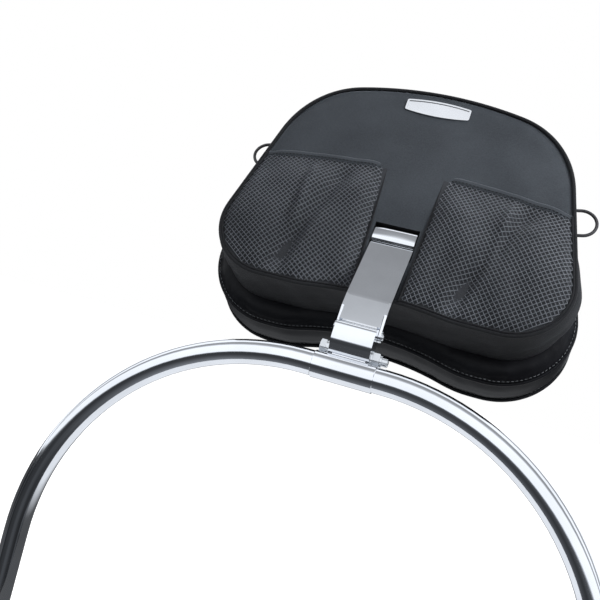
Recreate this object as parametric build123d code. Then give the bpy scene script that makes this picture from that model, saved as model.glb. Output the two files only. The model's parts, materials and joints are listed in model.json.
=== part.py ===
from build123d import *
from math import atan2, cos, radians, sin, sqrt, tan
import os

# Motorcycle driver backrest: a padded back cushion with a storage pouch, carried by a
# bent flat bar, a two-axis hinge and a plug-in tube hoop. Millimetres, +Z up, +Y towards
# the rider, origin midway between the lower ends of the hoop's two legs.

# Hoop tube
tube_diameter = 22.2
tube_wall = 1.8
crown_half_length = 36.0
bend_radius = 224.0
leg_length = 90.0
plug_length = 40.0
plug_fit = 0.02
plug_chamfer = 1.0

# Sleeve and lug on the crown of the hoop
sleeve_length = 55.0
sleeve_wall = 0.9
sleeve_chamfer = 0.4
lug_barrel_radius = 5.6
lug_foot_back = 4.4
lug_foot_front = 10.4

# Tilt bolt, measured forwards and upwards from the crown's centre line
bolt_forward = 11.8
bolt_rise = 15.9
bolt_diameter = 8.0
bolt_head_height = 5.3
bolt_head_flats = 13.0
bolt_thread_out = 5.5
hex_chamfer = 0.9
running_fit = 0.05
washer_diameter = 15.0
washer_thickness = 1.6
spring_washer_thickness = 2.0
spring_washer_gap = 1.6
nut_hex_height = 6.4
nut_collar_height = 1.6
nut_collar_radius = 5.6
disc_thickness = 0.6
disc_radius = 5.4
end_play = 0.1

# Hinge bracket, a folded plate with two cheeks
bracket_plate = 2.5
bracket_foot = (2.2, 13.6)
bracket_bulge = (-1.8, 27.0)
bracket_shoulder = (4.6, 41.2)
bracket_lip = (11.2, 41.9)
bracket_bulge_radius = 16.0
bracket_shoulder_radius = 6.0
bolt_lobe_radius = 6.8

# Fold pin, measured forwards and upwards from the crown's centre line
pin_forward = 21.5
pin_rise = 36.2
pin_diameter = 6.0
pin_lobe_radius = 5.4
pin_head_radius = 4.6
pin_head_height = 1.6
pin_chamfer = 0.6
clip_thickness = 0.9
clip_radius = 5.2
clip_slot = 2.6
pin_end_out = 1.2
ear_side_gap = 0.25

# Upright bar, a flat strip with turned edges, in the leaning frame of the back
back_lean = 24.3
bar_width = 41.4
bar_thickness = 3.0
ear_thickness = 2.2
bar_foot_gap = 2.7
bar_foot_back = 10.1
bar_kink_height = 73.4
bar_kink_standoff = 21.9
bar_kink_radius = 22.0
bar_shoulder_height = 60.0
bar_corner_height = 163.0
bar_corner_sunk = 6.6
bar_corner_radius = 11.0
bar_turn_inside = 1.0
bar_plate_height = 62.0
bar_edge_depth = 8.0
bar_edge_top = 126.0
bar_edge_top_depth = 4.4

# Pouch on the rear of the cushion
face_setback = 21.5
pouch_depth = 54.0
pouch_bottom = 81.0
pouch_height = 247.5
pouch_bottom_width = 366.0
pouch_top_width = 271.0
pouch_crown_radius = 352.0
pouch_lower_corner = 56.0
pouch_upper_corner = 104.0
pouch_notch = 6.0
pouch_notch_half_width = 72.0
pouch_notch_round = 120.0
piping_outer = 1.8
piping_inner = 1.6
piping_depth = 3.6
piping_round = 1.4
face_panel_thickness = 1.2
slot_clearance = 1.0
slot_binding_width = 2.0
slot_binding_proud = 0.6

# Mesh pockets either side of the bar
neck_top_half_width = 28.5
neck_bottom_half_width = 21.8
neck_top_height = 231.0
pocket_hem_fall = 0.11
pocket_side_gap = 0.3
pocket_bulge = 16.0
pocket_taper = 50.0
pocket_wall = 1.5
hem_width = 6.0
hem_thickness = 2.4

# Badge on the upper panel
badge_height_above_bottom = 228.0
badge_width = 66.0
badge_mid_height = 19.0
badge_end_height = 13.0
badge_thickness = 2.0
badge_rim = 1.8
badge_floor = 1.2
badge_corner = 2.0

# D rings on the sides of the pouch
ring_wire = 3.2
ring_width = 25.0
ring_reach = 22.0
ring_corner = 2.0
ring_height = 228.0
ring_setback = 27.0
tab_side_gap = 0.8
tab_length = 21.0
tab_thickness = 2.4
tab_loop_wall = 1.4

# Cushion
cushion_gap = 0.3
cushion_bottom = 61.0
cushion_height = 276.0
cushion_bottom_width = 398.0
cushion_top_width = 286.0
cushion_crown_radius = 330.0
cushion_lower_corner = 71.0
cushion_upper_corner = 100.0
cushion_notch = 14.0
cushion_notch_half_width = 84.0
cushion_notch_round = 90.0
rear_round = 12.0
side_band = 40.0
front_crown = 18.0
front_crown_radius = 2000.0
cover_thickness = 1.6
foam_gap = 0.3
welt_out = 1.6
welt_width = 3.2
welt_round = 1.3
board_thickness = 9.0
board_inset = 22.0

# Screws that hold the bar to the cushion's board
screw_radius = 3.0
screw_hole_clearance = 0.25
screw_head_radius = 5.5
screw_head_height = 3.0
screw_head_chamfer = 1.4
screw_socket_flats = 4.0
screw_socket_depth = 1.6
screw_spacing = 34.0
screw_first_rise = 18.0
tee_flange_radius = 9.5
tee_flange_thickness = 1.4
tee_barrel_radius = 4.4
tee_recess_gap = 0.3
tee_barrel_share = 0.7

tube_radius = tube_diameter / 2
hoop_height = bend_radius + leg_length
leg_spacing = 2 * (crown_half_length + bend_radius)
sleeve_radius = tube_radius + sleeve_wall
bracket_half_width = bar_width / 2 - ear_thickness - ear_side_gap
cheek_inner = bracket_half_width - bracket_plate
bolt_radius = bolt_diameter / 2
pin_radius = pin_diameter / 2
pouch_back = face_setback + pouch_depth
cushion_rear = pouch_back + cushion_gap
rear_seam = cushion_rear + rear_round
front_seam = rear_seam + side_band
bar_rear = cushion_rear - bar_thickness
board_rear = cushion_rear + cover_thickness + foam_gap

crown_place = Location((0, 0, hoop_height))
back_place = Location((0, 0, hoop_height), (-back_lean, 0, 0))


def save(shape, name):
    export_step(shape, "parts/" + name + ".step")


def in_back_frame(forward, rise):
    """A point of the crown's own frame, given in the leaning frame of the back."""
    c = cos(radians(back_lean))
    s = sin(radians(back_lean))
    return (forward * c - rise * s, forward * s + rise * c)


def along_x(radius, x_from, x_to, centre):
    """A round bar parallel to X from one x to another, centred on (y, z)."""
    start = Plane((x_from, centre[0], centre[1]), x_dir=(0, 1, 0), z_dir=(1, 0, 0))
    return extrude(start * Circle(radius), amount=x_to - x_from)


def hex_along_x(flats, x_from, x_to, centre, chamfer_far):
    """A hexagon prism parallel to X with one chamfered end."""
    start = Plane((x_from, centre[0], centre[1]), x_dir=(0, 1, 0), z_dir=(1, 0, 0))
    prism = extrude(start * RegularPolygon(flats / 2, 6, major_radius=False), amount=x_to - x_from)
    far = x_to if chamfer_far else x_from
    inward = -1 if x_to > x_from else 1
    if not chamfer_far:
        inward = -inward
    across = flats / 2 / cos(radians(30))
    cone_place = Plane((far, centre[0], centre[1]), x_dir=(0, 1, 0), z_dir=(inward, 0, 0))
    rounding = extrude(cone_place * Circle(flats / 2), amount=abs(x_to - x_from), taper=-60)
    limit = along_x(across + hex_chamfer, min(x_from, x_to), max(x_from, x_to), centre)
    return prism & (rounding & limit)


def side_profile(points):
    """A closed face in the YZ plane through (y, z) points."""
    return Plane.YZ * make_face(Polyline(*points, close=True))


def strip_profile(points, radii, thickness, side):
    """A bent strip's edge view in the YZ plane, thickened to one side of its path."""
    path = FilletPolyline(*points, radius=radii)
    return Plane.YZ * make_face(Wire(path.edges()).offset_2d(thickness, kind=Kind.INTERSECTION, side=side))


def slab(profile, x_from, x_to):
    return extrude(profile, amount=x_to - x_from, dir=(1, 0, 0)).moved(Location((x_from, 0, 0)))


# Hoop

def hoop_path():
    """Centre line of the hoop: leg, bend, straight crown, bend, leg."""
    half = leg_spacing / 2
    side = bend_radius * (1 - cos(radians(45)))
    left_mid = (-half + side, 0, leg_length + bend_radius * sin(radians(45)))
    right_mid = (half - side, 0, leg_length + bend_radius * sin(radians(45)))
    left_leg = Line((-half, 0, 0), (-half, 0, leg_length))
    left_bend = ThreePointArc((-half, 0, leg_length), left_mid, (-crown_half_length, 0, hoop_height))
    crown = Line((-crown_half_length, 0, hoop_height), (crown_half_length, 0, hoop_height))
    right_bend = ThreePointArc((crown_half_length, 0, hoop_height), right_mid, (half, 0, leg_length))
    right_leg = Line((half, 0, leg_length), (half, 0, 0))
    return Wire([left_leg, left_bend, crown, right_bend, right_leg])


def hoop_tube():
    path = hoop_path()
    start = Plane((-leg_spacing / 2, 0, 0))
    outer = sweep(start * Circle(tube_radius), path=path)
    inner = sweep(start * Circle(tube_radius - tube_wall), path=path)
    return outer - inner


def leg_plug(side):
    """A solid plug pressed into the foot of one leg, so that a clamp can't dent the tube."""
    radius = tube_radius - tube_wall - plug_fit
    place = Plane((side * leg_spacing / 2, 0, 0))
    plug = extrude(place * Circle(radius), amount=plug_length)
    rim = plug.edges().filter_by(GeomType.CIRCLE).group_by(Axis.Z)[-1]
    return chamfer(rim, length=plug_chamfer)


def hoop_sleeve():
    """A thin sleeve round the crown that carries the lug."""
    half = sleeve_length / 2
    ring = along_x(sleeve_radius, -half, half, (0, 0)) - along_x(tube_radius, -half, half, (0, 0))
    outer_ends = [
        edge
        for edge in ring.edges().filter_by(GeomType.CIRCLE)
        if edge.radius > (tube_radius + sleeve_radius) / 2
    ]
    return chamfer(outer_ends, length=sleeve_chamfer).moved(crown_place)


def pivot_lug():
    """The welded lug: a barrel round the tilt bolt with a foot saddled on the sleeve."""
    half = cheek_inner - disc_thickness - end_play
    barrel = Pos(bolt_forward, bolt_rise) * Circle(lug_barrel_radius)
    foot_length = lug_foot_front - lug_foot_back
    foot = Pos(lug_foot_back, 0) * Rectangle(
        foot_length, sqrt(sleeve_radius**2 - lug_foot_front**2), align=(Align.MIN, Align.MIN)
    )
    outline = make_hull(barrel.edges() + foot.edges())
    lug = slab(Plane.YZ * outline, -half, half)
    lug = lug - along_x(sleeve_radius, -half, half, (0, 0))
    lug = lug.solids().sort_by(Axis.Z)[-1]
    lug = lug - along_x(bolt_radius + running_fit, -half, half, (bolt_forward, bolt_rise))
    return lug.moved(crown_place)


# Tilt bolt and what is threaded on it

bolt_centre = (bolt_forward, bolt_rise)
washer_outer = bracket_half_width + end_play + washer_thickness
head_seat = -washer_outer - spring_washer_thickness
nut_seat = washer_outer
nut_end = nut_seat + nut_hex_height + nut_collar_height
bolt_end = nut_end + bolt_thread_out


def pivot_bolt():
    shank = along_x(bolt_radius, head_seat, bolt_end, bolt_centre)
    tip = shank.edges().filter_by(GeomType.CIRCLE).sort_by(Axis.X)[-1]
    shank = chamfer(tip, length=hex_chamfer)
    head = hex_along_x(bolt_head_flats, head_seat, head_seat - bolt_head_height, bolt_centre, True)
    return (shank + head).moved(crown_place)


def pivot_washers():
    """Two flat washers, one outside each cheek."""
    pair = []
    for side in (-1, 1):
        inner = side * (bracket_half_width + end_play)
        outer = inner + side * washer_thickness
        low, high = min(inner, outer), max(inner, outer)
        ring = along_x(washer_diameter / 2, low, high, bolt_centre)
        pair.append(ring - along_x(bolt_radius + running_fit, low, high, bolt_centre))
    return Compound(children=[w.moved(crown_place) for w in pair])


def spring_washer():
    """A split washer under the bolt's head."""
    low, high = head_seat, head_seat + spring_washer_thickness
    ring = along_x(bolt_head_flats / 2, low, high, bolt_centre)
    ring = ring - along_x(bolt_radius + running_fit, low, high, bolt_centre)
    cut = Location(((low + high) / 2, bolt_forward, bolt_rise + bolt_head_flats / 2)) * Box(
        2 * spring_washer_thickness, spring_washer_gap, bolt_head_flats
    )
    return (ring - cut).moved(crown_place)


def lock_nut():
    """A hexagon nut with a round locking collar."""
    hexagon = hex_along_x(bolt_head_flats, nut_seat, nut_seat + nut_hex_height, bolt_centre, True)
    collar = along_x(nut_collar_radius, nut_seat + nut_hex_height, nut_end, bolt_centre)
    nut = hexagon + collar
    return (nut - along_x(bolt_radius, nut_seat, nut_end, bolt_centre)).moved(crown_place)


def friction_discs():
    """Two thin discs between the lug's barrel and the cheeks."""
    pair = []
    for side in (-1, 1):
        inner = side * (cheek_inner - disc_thickness - end_play)
        outer = inner + side * disc_thickness
        low, high = min(inner, outer), max(inner, outer)
        ring = along_x(disc_radius, low, high, bolt_centre)
        pair.append(ring - along_x(bolt_radius + running_fit, low, high, bolt_centre))
    return Compound(children=[d.moved(crown_place) for d in pair])


# Hinge bracket and fold pin

pin_centre = (pin_forward, pin_rise)
pin_reach = bar_width / 2 + end_play


def bracket_path():
    points = (bracket_foot, bracket_bulge, bracket_shoulder, bracket_lip)
    return points, (bracket_bulge_radius, bracket_shoulder_radius)


def hinge_bracket():
    """A plate folded round the hinge, with a cheek at each side for bolt and pin."""
    points, radii = bracket_path()
    plate_profile = strip_profile(points, radii, bracket_plate, Side.RIGHT)
    plate = slab(plate_profile, -bracket_half_width, bracket_half_width)
    bolt_lobe = Pos(*bolt_centre) * Circle(bolt_lobe_radius)
    pin_lobe = Pos(*pin_centre) * Circle(pin_lobe_radius)
    spine = make_face(Wire(FilletPolyline(*points, radius=radii).edges()).offset_2d(
        bracket_plate, kind=Kind.INTERSECTION, side=Side.RIGHT))
    outline = Plane.YZ * make_hull(bolt_lobe.edges() + pin_lobe.edges() + spine.edges())
    bracket = plate
    for side in (-1, 1):
        low = min(side * cheek_inner, side * bracket_half_width)
        bracket = bracket + slab(outline, low, low + bracket_plate)
    reach = bracket_half_width
    bracket = bracket - along_x(bolt_radius + running_fit, -reach, reach, bolt_centre)
    bracket = bracket - along_x(pin_radius, -reach, reach, pin_centre)
    return bracket.moved(crown_place)


def fold_pin():
    """A headed pin through the bracket's cheeks and the bar's ears."""
    left = -pin_reach
    right = pin_reach + clip_thickness + pin_end_out
    pin = along_x(pin_radius, left, right, pin_centre)
    tip = pin.edges().filter_by(GeomType.CIRCLE).sort_by(Axis.X)[-1]
    pin = chamfer(tip, length=pin_chamfer)
    head = along_x(pin_head_radius, left - pin_head_height, left, pin_centre)
    rim = head.edges().filter_by(GeomType.CIRCLE).sort_by(Axis.X)[0]
    return (pin + chamfer(rim, length=pin_chamfer)).moved(crown_place)


def fold_pin_clip():
    """A retaining clip on the free end of the fold pin, open to one side."""
    low, high = pin_reach, pin_reach + clip_thickness
    ring = along_x(clip_radius, low, high, pin_centre)
    ring = ring - along_x(pin_radius, low, high, pin_centre)
    mouth = Location(((low + high) / 2, pin_forward + clip_radius, pin_rise)) * Box(
        2 * clip_thickness, 2 * clip_radius, clip_slot
    )
    return (ring - mouth).moved(crown_place)


# Upright bar, in the leaning frame of the back

pin_in_back = in_back_frame(*pin_centre)
bar_foot = (pin_in_back[0] - bar_foot_back, in_back_frame(*bracket_lip)[1] + bar_foot_gap)
bar_kink = (face_setback - bar_kink_standoff, bar_kink_height)
bar_corner = (face_setback + bar_corner_sunk, bar_corner_height)
bar_turn = (bar_rear, bar_corner_height)
bar_top = (bar_rear, bar_corner_height + bar_plate_height)


def on_bar(height):
    """The (y, z) point of the bar's rear surface at a height above the kink."""
    share = (height - bar_kink[1]) / (bar_corner[1] - bar_kink[1])
    return (bar_kink[0] + share * (bar_corner[0] - bar_kink[0]), height)


def screw_heights():
    first = bar_corner_height + screw_first_rise
    return [first, first + screw_spacing]


def bar_profile():
    """Edge view of the bar: foot, kink, rearward lip, run through the pouch, upper plate."""
    points = (bar_foot, bar_kink, bar_corner, bar_turn, bar_top)
    radii = (bar_kink_radius, bar_corner_radius, bar_thickness + bar_turn_inside)
    path = FilletPolyline(*points, radius=radii)
    return make_face(path.wire().offset_2d(bar_thickness, kind=Kind.INTERSECTION, side=Side.RIGHT))


def bar_strip():
    """The strip itself, narrowed below its shoulders to fit between the ears."""
    half = bar_width / 2
    strip = slab(Plane.YZ * bar_profile(), -half, half)
    for side in (-1, 1):
        notch = Pos(side * (bracket_half_width + half), 0, bar_foot[1] - bar_thickness) * Box(
            2 * half, 4 * half, bar_shoulder_height - bar_foot[1] + bar_thickness,
            align=(Align.CENTER, Align.CENTER, Align.MIN),
        )
        strip = strip - notch
    return strip


def bar_edges():
    """The turned edges of the bar, which run down into the two ears on the fold pin."""
    top = on_bar(bar_edge_top)
    root = Polyline(
        bar_kink,
        top,
        (top[0] + bar_edge_top_depth, top[1]),
        (bar_kink[0] + bar_edge_depth, bar_kink[1]),
        close=True,
    )
    share = (bar_shoulder_height - bar_foot[1]) / (bar_kink[1] - bar_foot[1])
    shoulder = (bar_foot[0] + (bar_kink[0] - bar_foot[0]) * share, bar_shoulder_height)
    knee = Polyline(
        bar_kink,
        (bar_kink[0] + bar_edge_depth, bar_kink[1]),
        shoulder,
        close=True,
    )
    lobe = Pos(*pin_in_back) * Circle(pin_lobe_radius)
    ear = make_hull(lobe.edges() + knee.edges())
    outline = Plane.YZ * (make_face(root) + ear)
    both = []
    for side in (-1, 1):
        low = min(side * bar_width / 2, side * (bar_width / 2 - ear_thickness))
        both.append(slab(outline, low, low + ear_thickness))
    return both


def upright_bar():
    bar = bar_strip()
    for edge_plate in bar_edges():
        bar = bar + edge_plate
    reach = bar_width / 2
    bar = bar - along_x(pin_radius + running_fit, -reach, reach, pin_in_back)
    for height in screw_heights():
        hole = Plane((0, bar_rear, height), x_dir=(1, 0, 0), z_dir=(0, 1, 0)) * Circle(
            screw_radius + screw_hole_clearance
        )
        bar = bar - extrude(hole, amount=bar_thickness)
    return bar


def bar_screws():
    """Two button-head screws through the bar's upper plate into the board."""
    tip = board_rear + board_thickness
    pair = []
    for height in screw_heights():
        place = Plane((0, bar_rear - screw_head_height, height), x_dir=(1, 0, 0), z_dir=(0, 1, 0))
        head = extrude(place * Circle(screw_head_radius), amount=screw_head_height)
        head = chamfer(head.edges().filter_by(GeomType.CIRCLE).sort_by(Axis.Y)[0], length=screw_head_chamfer)
        socket = extrude(place * RegularPolygon(screw_socket_flats / 2, 6, major_radius=False), amount=screw_socket_depth)
        shank = extrude(place * Circle(screw_radius), amount=tip - bar_rear + screw_head_height)
        pair.append(head + shank - socket)
    return pair


def tee_nuts():
    """Flanged nuts pressed into the front of the board, one behind each screw."""
    front = board_rear + board_thickness
    pair = []
    for height in screw_heights():
        place = Plane((0, front, height), x_dir=(1, 0, 0), z_dir=(0, 1, 0))
        flange = extrude(place * Circle(tee_flange_radius), amount=tee_flange_thickness)
        inward = Plane((0, front, height), x_dir=(1, 0, 0), z_dir=(0, -1, 0))
        barrel = extrude(inward * Circle(tee_barrel_radius), amount=board_thickness * tee_barrel_share)
        bore = extrude(inward * Circle(screw_radius), amount=board_thickness * tee_barrel_share)
        mouth = extrude(place * Circle(screw_radius), amount=tee_flange_thickness)
        pair.append(flange + barrel - bore - mouth)
    return pair


# Outlines of the pouch and the cushion, seen from behind

def back_outline(bottom, height, widths, crown_radius, waist, corners):
    """A rounded trapezium with a crowned top and a shallow waist in its bottom edge."""
    half_bottom = widths[0] / 2
    half_top = widths[1] / 2
    notch, notch_half, notch_round = waist
    top = bottom + height
    shoulder = top - crown_radius + sqrt(crown_radius**2 - half_top**2)
    face = make_face([
        ThreePointArc((-half_top, shoulder), (0, top), (half_top, shoulder)),
        Line((half_top, shoulder), (half_bottom, bottom)),
        Line((half_bottom, bottom), (notch_half, bottom)),
        ThreePointArc((notch_half, bottom), (0, bottom + notch), (-notch_half, bottom)),
        Line((-notch_half, bottom), (-half_bottom, bottom)),
        Line((-half_bottom, bottom), (-half_top, shoulder)),
    ])
    face = fillet([v for v in face.vertices() if abs(abs(v.X) - half_bottom) < 0.01], corners[0])
    face = fillet([v for v in face.vertices() if abs(abs(v.X) - notch_half) < 0.01], notch_round)
    return fillet([v for v in face.vertices() if abs(v.Y - shoulder) < 0.01], corners[1])


def pouch_outline(grow=0.0):
    face = back_outline(
        pouch_bottom, pouch_height, (pouch_bottom_width, pouch_top_width), pouch_crown_radius,
        (pouch_notch, pouch_notch_half_width, pouch_notch_round),
        (pouch_lower_corner, pouch_upper_corner),
    )
    return face if grow == 0 else offset(face, amount=grow)


def cushion_outline(grow=0.0):
    face = back_outline(
        cushion_bottom, cushion_height, (cushion_bottom_width, cushion_top_width),
        cushion_crown_radius, (cushion_notch, cushion_notch_half_width, cushion_notch_round),
        (cushion_lower_corner, cushion_upper_corner),
    )
    return face if grow == 0 else offset(face, amount=grow)


def seen_from_behind(forward):
    """The plane of an outline at a distance forwards, facing the rear."""
    return Plane((0, forward, 0), x_dir=(1, 0, 0), z_dir=(0, -1, 0))


def block(face, rear, front):
    """An outline made solid between two planes of the leaning frame."""
    return extrude(seen_from_behind(front) * face, amount=front - rear)


def cord_ring(outline, out, inward, rear, front, rounding):
    """A closed strip that follows an outline, its edges eased to a cord."""
    ring = block(outline(out), rear, front) - block(outline(-inward), rear, front)
    ends = ring.edges().group_by(Axis.Y)
    return chamfer(ends[0] + ends[-1], length=rounding)


# Pouch

panel_rear = face_setback
body_rear = face_setback + face_panel_thickness


def bar_room(grow=0.0):
    """The room that the bar and its screws' heads take where they run through the pouch."""
    gap = slot_clearance + grow
    half = bar_width / 2 + gap
    strip = slab(Plane.YZ * offset(bar_profile(), amount=gap, kind=Kind.INTERSECTION), -half, half)
    low, high = screw_heights()[0], screw_heights()[-1]
    head_gap = screw_head_radius + gap
    heads = Pos(0, bar_rear - screw_head_height - gap, low - head_gap) * Box(
        2 * head_gap, screw_head_height + gap, high - low + 2 * head_gap,
        align=(Align.CENTER, Align.MIN, Align.MIN),
    )
    return strip + heads


def pouch_body():
    """The filled pouch behind its face panel, rebated round the edge for the piping."""
    core = block(pouch_outline(-piping_inner), body_rear, pouch_back)
    back = block(pouch_outline(), panel_rear + piping_depth, pouch_back)
    return core + back - bar_room()


def pouch_piping():
    return cord_ring(
        pouch_outline, piping_outer, piping_inner, panel_rear - piping_outer,
        panel_rear + piping_depth, piping_round,
    )


def pouch_face_panel():
    panel = block(pouch_outline(-piping_inner), panel_rear, body_rear)
    return panel - bar_room(slot_binding_width)


def slot_binding():
    """A bound rim round the slot that the bar runs through."""
    layer = block(pouch_outline(-piping_inner), panel_rear - slot_binding_proud, body_rear)
    return (layer & bar_room(slot_binding_width)) - bar_room()


# Mesh pockets and their hems, built on the right and mirrored

def pocket_field(shrink):
    """Outline of the right pocket between the neck and the pouch's edge."""
    gap = pocket_side_gap + shrink
    slope = (neck_top_half_width - neck_bottom_half_width) / (neck_top_height - pouch_bottom)
    top = pouch_bottom + pouch_height
    side = make_face(Polyline(
        (neck_bottom_half_width + gap, pouch_bottom),
        (pouch_bottom_width, pouch_bottom),
        (pouch_bottom_width, top),
        (neck_bottom_half_width + slope * pouch_height + gap, top),
        close=True,
    ))
    return pouch_outline(-piping_inner - gap) & side


def pocket_room(shrink, bulge):
    """A bag with sloping sides that stands off the face by the bulge."""
    field = pocket_field(shrink)
    return extrude(seen_from_behind(panel_rear) * field, amount=bulge, taper=pocket_taper)


def under_hem(drop):
    """Everything on the right below the pocket's hem line, lowered by a drop."""
    reach = pouch_bottom_width
    inner = neck_top_height - drop + pocket_hem_fall * neck_top_half_width
    outer = inner - pocket_hem_fall * reach
    face = make_face(Polyline((0, 0), (reach, 0), (reach, outer), (0, inner), close=True))
    return block(face, panel_rear - 2 * pocket_bulge, panel_rear)


def right_mesh_pocket():
    outer = pocket_room(0, pocket_bulge)
    inner = pocket_room(pocket_wall, pocket_bulge - pocket_wall)
    return (outer - inner) & under_hem(hem_width)


def right_pocket_hem():
    excess = (hem_thickness - pocket_wall) / 2
    outer = pocket_room(0, pocket_bulge + excess)
    inner = pocket_room(pocket_wall + excess, pocket_bulge - pocket_wall - excess)
    return ((outer - inner) & under_hem(0)) - under_hem(hem_width)


# Badge

def badge():
    """A blank barrel-shaped plate with a raised rim."""
    middle = pouch_bottom + badge_height_above_bottom
    half = badge_width / 2
    face = make_face([
        ThreePointArc((-half, badge_end_height / 2), (0, badge_mid_height / 2), (half, badge_end_height / 2)),
        Line((half, badge_end_height / 2), (half, -badge_end_height / 2)),
        ThreePointArc((half, -badge_end_height / 2), (0, -badge_mid_height / 2), (-half, -badge_end_height / 2)),
        Line((-half, -badge_end_height / 2), (-half, badge_end_height / 2)),
    ])
    face = fillet(face.vertices(), radius=badge_corner)
    place = seen_from_behind(panel_rear)
    plate = extrude(place * (Pos(0, middle) * face), amount=badge_thickness)
    field = Pos(0, middle) * offset(face, amount=-badge_rim)
    recess = extrude(place * field, amount=badge_thickness) - extrude(place * field, amount=badge_floor)
    return plate - recess


# D rings and their tabs, built on the right and mirrored

ring_radius = ring_wire / 2
loop_radius = ring_radius + running_fit + tab_loop_wall


def gusset_frame():
    """Plane at the right ring's bar: X forwards, Y up the gusset, Z outwards."""
    crown_drop = pouch_crown_radius - sqrt(pouch_crown_radius**2 - (pouch_top_width / 2) ** 2)
    run = (pouch_bottom_width - pouch_top_width) / 2
    lean = atan2(run, pouch_height - crown_drop)
    x = pouch_bottom_width / 2 - (ring_height - pouch_bottom) * tan(lean)
    out = Vector(cos(lean), 0, sin(lean))
    centre = Vector(x, face_setback + ring_setback, ring_height) + out * loop_radius
    return Plane(centre, x_dir=(0, 1, 0), z_dir=(cos(lean), 0, sin(lean)))


def right_ring_tab():
    """Webbing folded round the ring's bar and sewn down towards the rear."""
    half = ring_width / 2 - tab_side_gap
    loop = Circle(loop_radius)
    strap = Pos(-tab_length, -loop_radius) * Rectangle(
        tab_length, tab_thickness, align=(Align.MIN, Align.MIN)
    )
    outline = make_hull(loop.edges() + (Pos(-2 * loop_radius, -loop_radius) * Rectangle(
        loop_radius, tab_thickness, align=(Align.MIN, Align.MIN))).edges()) + strap
    frame = gusset_frame()
    across = Plane(frame.origin, x_dir=frame.x_dir, z_dir=-frame.y_dir)
    tab = extrude(across * outline, amount=half, both=True)
    return tab - extrude(across * Circle(ring_radius + running_fit), amount=half, both=True)


def right_d_ring():
    """A round wire bent to a D, its straight bar through the tab."""
    half = ring_width / 2 + ring_radius
    straight = ring_reach - half
    low = FilletPolyline((0, 0), (0, -half), (straight, -half), radius=ring_corner)
    bow = ThreePointArc((straight, -half), (ring_reach, 0), (straight, half))
    high = FilletPolyline((straight, half), (0, half), (0, 0), radius=ring_corner)
    frame = gusset_frame()
    flat = Plane(frame.origin, x_dir=frame.z_dir, z_dir=frame.z_dir.cross(frame.y_dir))
    path = flat * Wire(low.edges() + bow.edges() + high.edges())
    start = Plane(frame.origin, x_dir=frame.z_dir, z_dir=-frame.y_dir)
    return sweep(start * Circle(ring_radius), path=path)


# Cushion

def cushion_block(inset):
    """The cushion's form, or what lies an inset below its surface."""
    rear = cushion_rear + inset
    front = front_seam + front_crown
    solid = block(cushion_outline(-inset), rear, front)
    ball_middle = cushion_bottom + cushion_height / 2
    ball = Pos(0, front - front_crown_radius, ball_middle) * Sphere(front_crown_radius - inset)
    solid = solid & ball
    solid = fillet(solid.edges().group_by(Axis.Y)[0], radius=rear_round - inset)
    return solid


def across_cushion(rear, front):
    """A slice of space wider than the cushion, between two planes."""
    middle = cushion_bottom + cushion_height / 2
    return Pos(0, rear, middle) * Box(
        2 * cushion_bottom_width, front - rear, 2 * cushion_height,
        align=(Align.CENTER, Align.MIN, Align.CENTER),
    )


def cover():
    return cushion_block(0) - cushion_block(cover_thickness)


def screw_bores(radius, rear, front):
    """Round holes on the screws' lines."""
    bores = [
        extrude(seen_from_behind(front) * (Pos(0, height) * Circle(radius)), amount=front - rear)
        for height in screw_heights()
    ]
    return bores[0] + bores[1]


def cushion_covers():
    """Rear panel, side band and front panel of the cover, cut apart at the two seams."""
    skin = cover()
    half = welt_width / 2
    far = front_seam + front_crown
    rear = skin & across_cushion(cushion_rear, rear_seam - half)
    rear = rear - screw_bores(screw_radius + screw_hole_clearance, cushion_rear, board_rear)
    band = skin & across_cushion(rear_seam + half, front_seam - half)
    front = skin & across_cushion(front_seam + half, far)
    return rear, band, front


def cushion_welt(seam):
    half = welt_width / 2
    return cord_ring(cushion_outline, welt_out, cover_thickness, seam - half, seam + half, welt_round)


def pad_board():
    front = board_rear + board_thickness
    board = block(cushion_outline(-board_inset), board_rear, front)
    reach = board_thickness * tee_barrel_share
    board = board - screw_bores(screw_radius + screw_hole_clearance, board_rear, front)
    return board - screw_bores(tee_barrel_radius, front - reach, front)


def pad_foam():
    front = board_rear + board_thickness
    foam = cushion_block(cover_thickness + foam_gap)
    foam = foam - block(cushion_outline(-board_inset), board_rear, front)
    pocket = tee_flange_thickness + tee_recess_gap
    return foam - screw_bores(tee_flange_radius + tee_recess_gap, front, front + pocket)


def lean(shapes):
    """Stand pieces of the leaning frame on the hinge."""
    if isinstance(shapes, (list, tuple)):
        return Compound(children=[shape.moved(back_place) for shape in shapes])
    return shapes.moved(back_place)


def both_sides(make, name):
    right = make()
    save(lean(right), "right_" + name)
    save(lean(mirror(right, about=Plane.YZ)), "left_" + name)


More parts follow.
